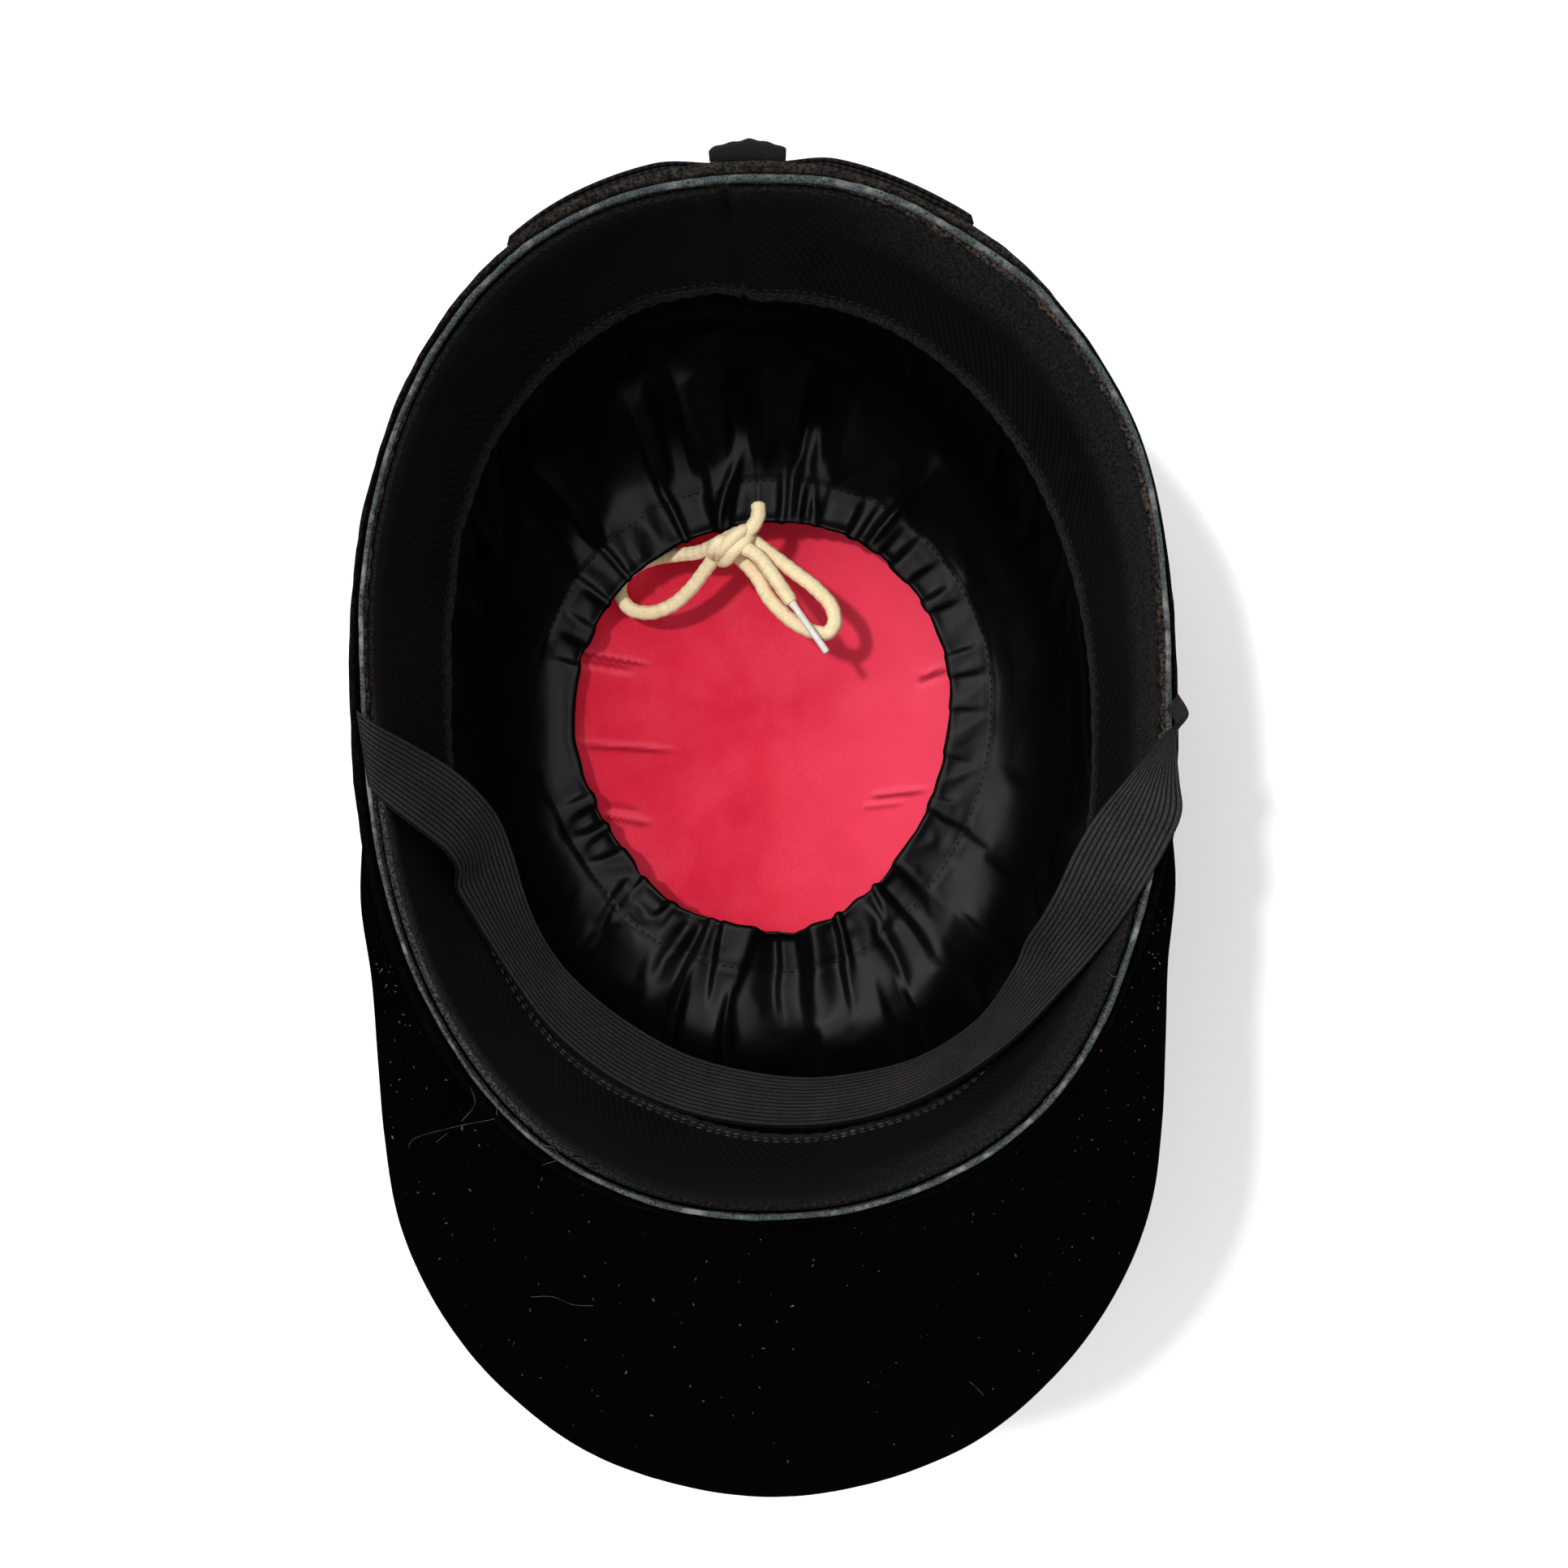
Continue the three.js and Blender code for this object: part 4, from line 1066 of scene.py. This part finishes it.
def liningPoint(turn, run, lift=0):
    degrees = math.degrees(turn)
    share = liningValue("part", run)
    oval = {
        "across": liningValue("across", run) * mm,
        "along": liningValue("along", run) * mm,
        "fullness": mix(2.1, 2, share),
        "x": mix(1.2, -0.5, share) * mm,
        "y": mix(-2.7, -2.9, share) * mm,
    }
    facing = math.radians(max(0, liningValue("facing", run)))
    height = gatherLift(degrees, max(0, run))
    seam = (degrees - lining["seamTurn"]) / lining["seamHalf"]
    height += (0.6 * math.exp(-(seam + 1.8) ** 2) - 0.7 * math.exp(-seam * seam)) * ease(run, 2, 9)
    height += lift
    height *= 1 - ease(run, 70, 77)
    drawn = readRows(mouthLine, "turn", degrees % 360, "out") * (1 - ease(run, 6, 32))
    aside = turnAway(degrees, lining["sagTurn"]) / lining["sagHalf"]
    sagged = math.exp(-aside ** 4) * (1 - ease(run, 8, 34))
    drawn += lining["sagOut"] * sagged + footShift(turn) * ease(run, 20, 46)
    point = onOval(oval, turn) + outwards(turn) * (drawn - height * math.cos(facing)) * mm
    sunk = liningDepth(degrees, run) - height * math.sin(facing) + lining["sag"] * sagged
    if run < 1:
        # the folded hem stays under the dips of the casing above it
        sunk += max(0, -gatherLift(degrees, 4)) * ease(-run, -1, 0.5)
    carried = shellDepth(Vector((point.x, point.y, 0))) - lining["clear"]
    point.z = rimHeight - (sunk - 2 * math.log(1 + math.exp((sunk - carried) / 2))) * mm
    return point


def liningRun(down):
    low, high = liningRows[0]["run"], liningRows[-1]["run"]
    return mix(high, low, 1 - (1 - down) ** lining["closeRows"])


def liningPlace(u, v):
    return liningPoint(2 * math.pi * u, liningRun(v))


liningForm = clothForm(lining["columns"], lining["rows"], liningPlace)


def liningCut(across, down):
    # the satin as it was cut and seamed: a short wide tube
    run = liningRun(down)
    wayRound = mix(lining["cutMouth"], lining["cutTop"], min(1, max(0, run) / lining["cutDeep"]))
    return outwards(2 * math.pi * across) * wayRound / (2 * math.pi) + Vector((0, 0, run * mm))


def liningHeld(across, down):
    run = liningRun(down)
    return max(ease(run, 70, 75), 1 - ease(run, 1.0, 3.0))


smoothShare = liningForm.verts.layers.float.new("smooth")
acrossShare, downShare = [liningForm.verts.layers.float[name] for name in ("across", "down")]
for vert in liningForm.verts:
    run = liningRun(vert[downShare])
    rubbed = max(onSwell(swell, 360 * vert[acrossShare], run) for swell in wallSwells)
    vert[smoothShare] = ease(run, 20, 40) * (1 - rubbed)
settleCloth(liningForm, liningCut, liningHeld, liningSettling)
print("lining settled")
satinLining = addPiece("satinLining", liningForm, blackSatin(), ("satin_lining",))
thicken(satinLining, lining["thick"], -1)
print("lining done")

# Crimson tip inside the top of the crown
tip = {
    "innerSet": -2.8 * mm,
    "pole": 120.4 * mm,
    "thick": 0.9 * mm,
    "edgeTurn": 52.6,
    "lifted": 0.3 * mm,
    "columns": 420,
    "rows": 84,
}
# creases that lie across the satin: two ends on the plan in metres, height and width in millimetres
creases = table("from to height wide", [
    ((-0.0475, 0.0178), (-0.0307, 0.0148), 0.55, 0.45),
    ((-0.0470, 0.0150), (-0.0340, 0.0128), -0.3, 0.8),
    ((-0.0476, -0.0054), (-0.0249, -0.0073), 0.38, 0.8),
    ((-0.0422, -0.0235), (-0.0306, -0.0261), 0.41, 0.8),
    ((-0.0415, -0.0215), (-0.0330, -0.0232), -0.26, 0.8),
    ((0.0388, 0.0100), (0.0463, 0.0121), 0.38, 0.8),
    ((0.0382, 0.0078), (0.0455, 0.0098), -0.26, 0.8),
    ((0.0265, -0.0203), (0.0401, -0.0190), 0.41, 0.8),
    ((0.0240, -0.0232), (0.0345, -0.0222), 0.22, 0.8),
])


def creaseHeight(point):
    height = 0
    for crease in creases:
        a, b = Vector(crease["from"]), Vector(crease["to"])
        along = (b - a).normalized()
        away = Vector((point.x, point.y)) - a
        at = away.dot(along) / (b - a).length
        side = (away - along * away.dot(along)).length / (crease["wide"] * mm)
        if -0.15 < at < 1.15 and side < 4:
            height += (crease["height"] * math.exp(-side * side)
                       * ease(at, -0.1, 0.15) * (1 - ease(at, 0.7, 1.1)))
    return height * mm


def tipPlace(u, v):
    step = math.radians(mix(90, tip["edgeTurn"], v))
    turn = 2 * math.pi * u
    point = domePoint(turn, domeDepth(step, tip["pole"]), tip["innerSet"], tip["pole"])
    swell = 0.45 * mm * grain(point, 30 * mm, 21) + 0.12 * mm * grain(point, 8 * mm, 22)
    return point + Vector((0, 0, creaseHeight(point) + swell + tip["lifted"]))


tipForm = clothForm(tip["columns"], tip["rows"], tipPlace)
creaseLightShadeShare = tipForm.verts.layers.float.new("creaseLightShade")
for vert in tipForm.verts:
    # painted highlight on the side of each crease that faces the light, painted shade on the other
    aside = Vector((0, 0.4 * mm, 0))
    slope = creaseHeight(vert.co + aside) - creaseHeight(vert.co - aside)
    vert[creaseLightShadeShare] = max(-0.25, min(0.75, slope / (0.35 * mm)))
for face in tipForm.faces:
    face.normal_update()
if sum(face.normal.z for face in tipForm.faces) < 0:
    bmesh.ops.reverse_faces(tipForm, faces=tipForm.faces)
crownTip = addPiece("crownTip", tipForm, crimsonSatin(), ("crown_tip",))
thicken(crownTip, tip["thick"], -1)
for piece in (crownTip, rightCord, leftCord, drawstringKnot, drawstringAglet):
    piece.visible_glossy = False  # cloth this dull does not mirror in the satin
print("tip done")

# Elastic chin strap
strap = {
    "thick": 1.1 * mm,
    "ribs": 14,
    "ribColumns": 6,
    "ribHeight": 0.24 * mm,
    "rounded": 0.012,
    "rows": 330,
}
# metres, both edges of the strap from the left of the rim round the front to the right
strapRoute = table("outer inner", [
    ((-0.0763, -0.0153, 0.1262), (-0.0782, -0.0007, 0.1262)),
    ((-0.0752, -0.0169, 0.1256), (-0.0757, -0.0030, 0.1248)),
    ((-0.0714, -0.0211, 0.1214), (-0.0712, -0.0066, 0.1150)),
    ((-0.0674, -0.0256, 0.1148), (-0.0649, -0.0120, 0.1030)),
    ((-0.0647, -0.0290, 0.1098), (-0.0604, -0.0172, 0.0962)),
    ((-0.0636, -0.0328, 0.1053), (-0.0574, -0.0226, 0.0908)),
    ((-0.0646, -0.0367, 0.1013), (-0.0553, -0.0300, 0.0863)),
    ((-0.0622, -0.0426, 0.0978), (-0.0538, -0.0384, 0.0823)),
    ((-0.0589, -0.0491, 0.0956), (-0.0514, -0.0466, 0.0794)),
    ((-0.0544, -0.0570, 0.0940), (-0.0468, -0.0550, 0.0776)),
    ((-0.0474, -0.0672, 0.0926), (-0.0402, -0.0624, 0.0760)),
    ((-0.0362, -0.0775, 0.0906), (-0.0306, -0.0702, 0.0742)),
    ((-0.0235, -0.0846, 0.0896), (-0.0196, -0.0766, 0.0732)),
    ((-0.0090, -0.0887, 0.0894), (-0.0076, -0.0804, 0.0728)),
    ((0.0062, -0.0898, 0.0902), (0.0062, -0.0824, 0.0732)),
    ((0.0210, -0.0876, 0.0922), (0.0189, -0.0814, 0.0744)),
    ((0.0348, -0.0818, 0.0956), (0.0322, -0.0776, 0.0774)),
    ((0.0492, -0.0712, 0.1016), (0.0443, -0.0690, 0.0834)),
    ((0.0603, -0.0582, 0.1102), (0.0514, -0.0566, 0.0936)),
    ((0.0652, -0.0512, 0.1160), (0.0526, -0.0502, 0.1020)),
    ((0.0688, -0.0446, 0.1230), (0.0550, -0.0444, 0.1104)),
    ((0.0722, -0.0380, 0.1276), (0.0576, -0.0382, 0.1156)),
    ((0.0766, -0.0307, 0.1279), (0.0602, -0.0314, 0.1196)),
    ((0.0795, -0.0240, 0.1284), (0.0646, -0.0244, 0.1204)),
    ((0.0791, -0.0177, 0.1284), (0.0706, -0.0169, 0.1234)),
    ((0.0788, -0.0123, 0.1281), (0.0742, -0.0122, 0.1262)),
    ((0.0792, -0.0086, 0.1278), (0.0764, -0.0092, 0.1274)),
    ((0.0814, -0.0054, 0.1275), (0.0788, -0.0070, 0.1275)),
    ((0.0796, -0.0014, 0.1272), (0.0772, -0.0042, 0.1272)),
])
strapEdges = {key: [Vector(row[key]) for row in strapRoute] for key in ("outer", "inner")}
strapColumns = strap["ribs"] * strap["ribColumns"]
strapLines = []
for i in range(strap["rows"] + 1):
    share = i / strap["rows"]
    outer, inner = splinePoint(strapEdges["outer"], share), splinePoint(strapEdges["inner"], share)
    nearby = min(1, share + 0.002), max(0, share - 0.002)
    along = (splinePoint(strapEdges["outer"], nearby[0]) + splinePoint(strapEdges["inner"], nearby[0])
             - splinePoint(strapEdges["outer"], nearby[1]) - splinePoint(strapEdges["inner"], nearby[1]))
    face = (inner - outer).cross(along).normalized()
    strapLines.append((outer, inner, face if face.z > 0 else -face))


def ribHeight(across):
    return abs(math.sin(math.pi * across * strap["ribs"])) ** 0.6


def strapPlace(u, v):
    outer, inner, face = strapLines[round(u * strap["rows"])]
    loop = v * 2
    across = loop if loop <= 1 else 2 - loop
    side = 1 if loop <= 1 else -1
    edge = min(1, min(across, 1 - across) / strap["rounded"])
    rounded = math.sqrt(edge * (2 - edge))
    half = strap["thick"] / 2 * rounded - strap["ribHeight"] * (1 - ribHeight(across)) * edge
    return outer.lerp(inner, across) + face * half * side


strapForm = clothForm(strap["rows"], 2 * strapColumns, strapPlace)
closeForm(strapForm)
ribShare = strapForm.verts.layers.float.new("rib")
cloth = strapForm.loops.layers.uv["cloth"]
for face in strapForm.faces:
    for loop in face.loops:
        across = loop[cloth].uv.y * 2
        loop.vert[ribShare] = ribHeight(across if across <= 1 else 2 - across)
addPiece("chinStrap", strapForm, ribbedElastic(), ("chin_strap",))
print("strap done")

# Bow at the back
bow = {
    "topDepth": 3.6 * mm,
    "ribbonWide": 20 * mm,
    "ribbonThick": 0.55 * mm,
    "offShell": 0.35 * mm,
    "underLayer": 0.35 * mm,
    "overLayer": 1.05 * mm,
    "parted": 0.5 * mm,
    "rootNarrow": 0.62,
    "leftTip": -45.5 * mm,
    "rightTip": 41.6 * mm,
    "knotFrom": -7.6 * mm,
    "knotTo": 6.6 * mm,
    "knotOverhang": 0.8 * mm,
    "knotHigh": 5.4 * mm,
    "columns": 90,
    "rows": 24,
}


def backTurn(x):
    turn = math.acos((abs(x) / rimCrest["across"]) ** (rimCrest["fullness"] / 2))
    return math.pi - turn if x < 0 else turn


def onBack(x, depth, out):
    turn = backTurn(x)
    return outerFace(turn, depth) + outwards(turn) * out


def ribbonLoop(name, fromX, toX, node, sag):
    # one side of the bow: a flattened loop, two layers of ribbon that part a little
    def place(u, v):
        loop = u * 2
        share = loop if loop <= 1 else 2 - loop
        layer = bow["underLayer"] if loop <= 1 else bow["overLayer"]
        swell = bow["parted"] * math.sin(math.pi * share) * (1 if loop > 1 else 0.15)
        narrow = mix(bow["rootNarrow"], 1, ease(share, 0, 0.3))
        middle = bow["topDepth"] + bow["ribbonWide"] / 2
        depth = middle + (v - 0.5) * bow["ribbonWide"] * narrow + sag * share
        fold = 0.25 * mm * math.sin(v * 9 + 2) * (1 - ease(share, 0.1, 0.6))
        return onBack(mix(fromX, toX, share), depth, layer + swell + fold + bow["offShell"])

    form = clothForm(bow["columns"], bow["rows"], place)
    thicken(addPiece(name, form, ribbonMaterial, (node,)), bow["ribbonThick"], 0)


ribbonMaterial = grosgrainRibbon()
ribbonLoop("bowLeft", bow["knotFrom"] + 1.5 * mm, bow["leftTip"], "bow_left", 0.6 * mm)
ribbonLoop("bowRight", bow["knotTo"] - 1.5 * mm, bow["rightTip"], "bow_right", -0.4 * mm)


def knotPlace(u, v):
    # the ribbon that wraps the middle, folded along its length
    x = mix(bow["knotFrom"], bow["knotTo"], u)
    loop = v * 2
    share = loop if loop <= 1 else 2 - loop
    low = bow["topDepth"] - bow["knotOverhang"]
    high = bow["topDepth"] + bow["ribbonWide"] + bow["knotOverhang"]
    rounded = math.sqrt(max(0, 1 - (2 * share - 1) ** 6))
    fold = 0.22 * mm * math.sin(u * 13 + 1) + 0.15 * mm * math.sin(u * 27)
    domed = 0.6 + 0.4 * (1 - abs(2 * u - 1) ** 3)
    out = 0.3 * mm if loop > 1 else (0.4 * mm + (bow["knotHigh"] * domed + fold) * rounded)
    return onBack(x, mix(low, high, share), out)


knotRibbon = clothForm(40, 60, knotPlace)
closeForm(knotRibbon)
addPiece("bowKnot", knotRibbon, ribbonMaterial, ("bow_knot",))
print("bow done")


# Stitches: one joined mesh for each row
def stitchRow(name, places, long, wide, material):
    form = bmesh.new()
    for before, here, after, up in places:
        along = (after - before).normalized()
        side = up.cross(along).normalized()
        turned = Matrix((along, side, along.cross(side))).transposed().to_4x4()
        sized = Matrix.Diagonal((long / 2, wide / 2, wide / 2, 1))
        bmesh.ops.create_uvsphere(form, u_segments=6, v_segments=4, radius=1,
                                  matrix=Matrix.Translation(here) @ turned @ sized)
    addPiece(name, form, material)


def rowAlong(point, count, up, jitter):
    places = []
    for i in range(count):
        turn = 2 * math.pi * (i + jitter * random.uniform(-1, 1)) / count
        half = math.pi * 0.35 / count
        places.append((point(turn - half), point(turn), point(turn + half), up(turn)))
    return places


greyThread = sewingThread("cottonThreadGrey", "#4a4743", "#1f1e1d")
blackThread = sewingThread("cottonThreadBlack", "#040405", "#010102")
darkThread = sewingThread("cottonThreadDark", "#211f1d", "#121110")
footPlaces = []
for share in (0.69, 0.72):
    footPlaces += rowAlong(lambda turn: bandPoint(turn, share, 0.12 * mm), 230,
                           lambda turn: -outwards(turn), 0.12)
lighterThreadFrom = -30 * mm  # the seam's thread is lighter grey at the front
frontPlaces = [row for row in footPlaces if row[1].y < lighterThreadFrom]
backPlaces = [row for row in footPlaces if row[1].y >= lighterThreadFrom]
stitchRow("bandStitchesFront", frontPlaces, 1.5 * mm, 0.34 * mm, greyThread)
stitchRow("bandStitchesBack", backPlaces, 1.5 * mm, 0.34 * mm, darkThread)
casingPlaces = rowAlong(lambda turn: liningPoint(turn, lining["stitchRun"], 0.1), 190,
                        lambda turn: Vector((0, 0, 1)), 0.1)
stitchRow("casingStitches", casingPlaces, 1.3 * mm, 0.22 * mm, blackThread)

# Lint and stray hairs on the velvet
peakTree = BVHTree.FromPolygons([vert.co for vert in velvetPeak.data.vertices],
                                [face.vertices for face in velvetPeak.data.polygons])


def peakTop(x, y):
    # height of the velvet under a point of the plan
    hit = peakTree.ray_cast(Vector((x, y, 2 * rimHeight)), Vector((0, 0, -1)))[0]
    return (hit.z if hit else rimHeight) + 0.1 * mm


lint = {"specks": 420, "size": 0.06 * mm, "hairRadius": 0.045 * mm}
lintMaterial = sewingThread("looseLint", "#5e5c57", "#1f1e1c")
lintForm = bmesh.new()
for i in range(lint["specks"]):
    u = random.uniform(0.06, 0.94)
    v = random.uniform(0.02, 0.98)
    at = peakPlace(u, v * peak["faceRows"] / peakRows)
    size = lint["size"] * random.uniform(0.5, 1.5) ** 3
    turned = Matrix.Rotation(random.uniform(0, math.pi), 4, "Z")
    sized = Matrix.Diagonal((size * random.uniform(1, 3.2), size, size * 0.5, 1))
    bmesh.ops.create_uvsphere(lintForm, u_segments=5, v_segments=3, radius=1,
                              matrix=Matrix.Translation(at + Vector((0, 0, size * 0.3))) @ turned @ sized)
addPiece("peakLint", lintForm, lintMaterial)
hairs = [
    # the plan of each stray hair, in millimetres
    [(-69.0, -83.8), (-68.6, -82.6), (-62.1, -81.2), (-53.7, -79.9)],
    [(-58.1, -73.7), (-57.4, -76.8), (-59.7, -79.8), (-64.4, -83.5)],
    [(-55.1, -75.6), (-53.6, -75.7), (-53.2, -79.2)],
    [(-47.6, -81.9), (-46.2, -84.7), (-42.4, -85.8), (-41.7, -87.8), (-44.7, -89.0)],
    [(-46.4, -112.1), (-42.4, -112.5), (-38.7, -114.1), (-34.9, -114.6)],
    [(65.0, -54.5), (66.2, -55.5), (67.5, -54.9)],
    [(35.3, -128.5), (36.5, -129.4), (37.7, -130.6)],
]
hairLines = [
    evenLine([Vector((x * mm, y * mm, peakTop(x * mm, y * mm))) for x, y in hair], 40) for hair in hairs
]
hairForm = joinForms(tubeForm(line, lambda share: lint["hairRadius"], 4) for line in hairLines)
addPiece("strayHairs", hairForm, lintMaterial)
print("stitches and lint done")

# Floor and light: white ground, a pale room, a softbox and one small lamp at the upper left
stage = {"floorSize": 3.0, "floorColour": "#fafafa", "skyStrength": 0.86}
lamps = table("name place wide high power mirrored", [
    ("softbox", (-0.62, 0.72, 1.56), 2.4, 1.4, 10, True),
    ("windowLamp", (-0.36, 0.17, 1.20), 0.06, 0.06, 8.2, False),
])
floorForm = bmesh.new()
bmesh.ops.create_grid(floorForm, x_segments=1, y_segments=1, size=stage["floorSize"])
floorMesh = bpy.data.meshes.new("floor")
floorForm.to_mesh(floorMesh)
floorForm.free()
floorPaint = newMaterial("paintedFloor", Base_Color=linear(stage["floorColour"]), Roughness=0.9)
floorMesh.materials.append(floorPaint)
floor = bpy.data.objects.new("floor", floorMesh)
bpy.context.scene.collection.objects.link(floor)

world = bpy.data.worlds.new("paleRoom")
world.use_nodes = True
sky = world.node_tree.nodes["Background"]
sky.inputs["Color"].default_value = (1, 1, 1, 1)
sky.inputs["Strength"].default_value = stage["skyStrength"]
bpy.context.scene.world = world
for row in lamps:
    lampData = bpy.data.lights.new(row["name"], "AREA")
    lampData.shape = "RECTANGLE"
    lampData.size = row["wide"]
    lampData.size_y = row["high"]
    lampData.energy = row["power"]
    lamp = bpy.data.objects.new(row["name"], lampData)
    lamp.location = row["place"]
    lamp.rotation_euler = lamp.location.to_track_quat("Z", "Y").to_euler()
    lamp.visible_camera = False
    lamp.visible_glossy = row["mirrored"]
    bpy.context.scene.collection.objects.link(lamp)
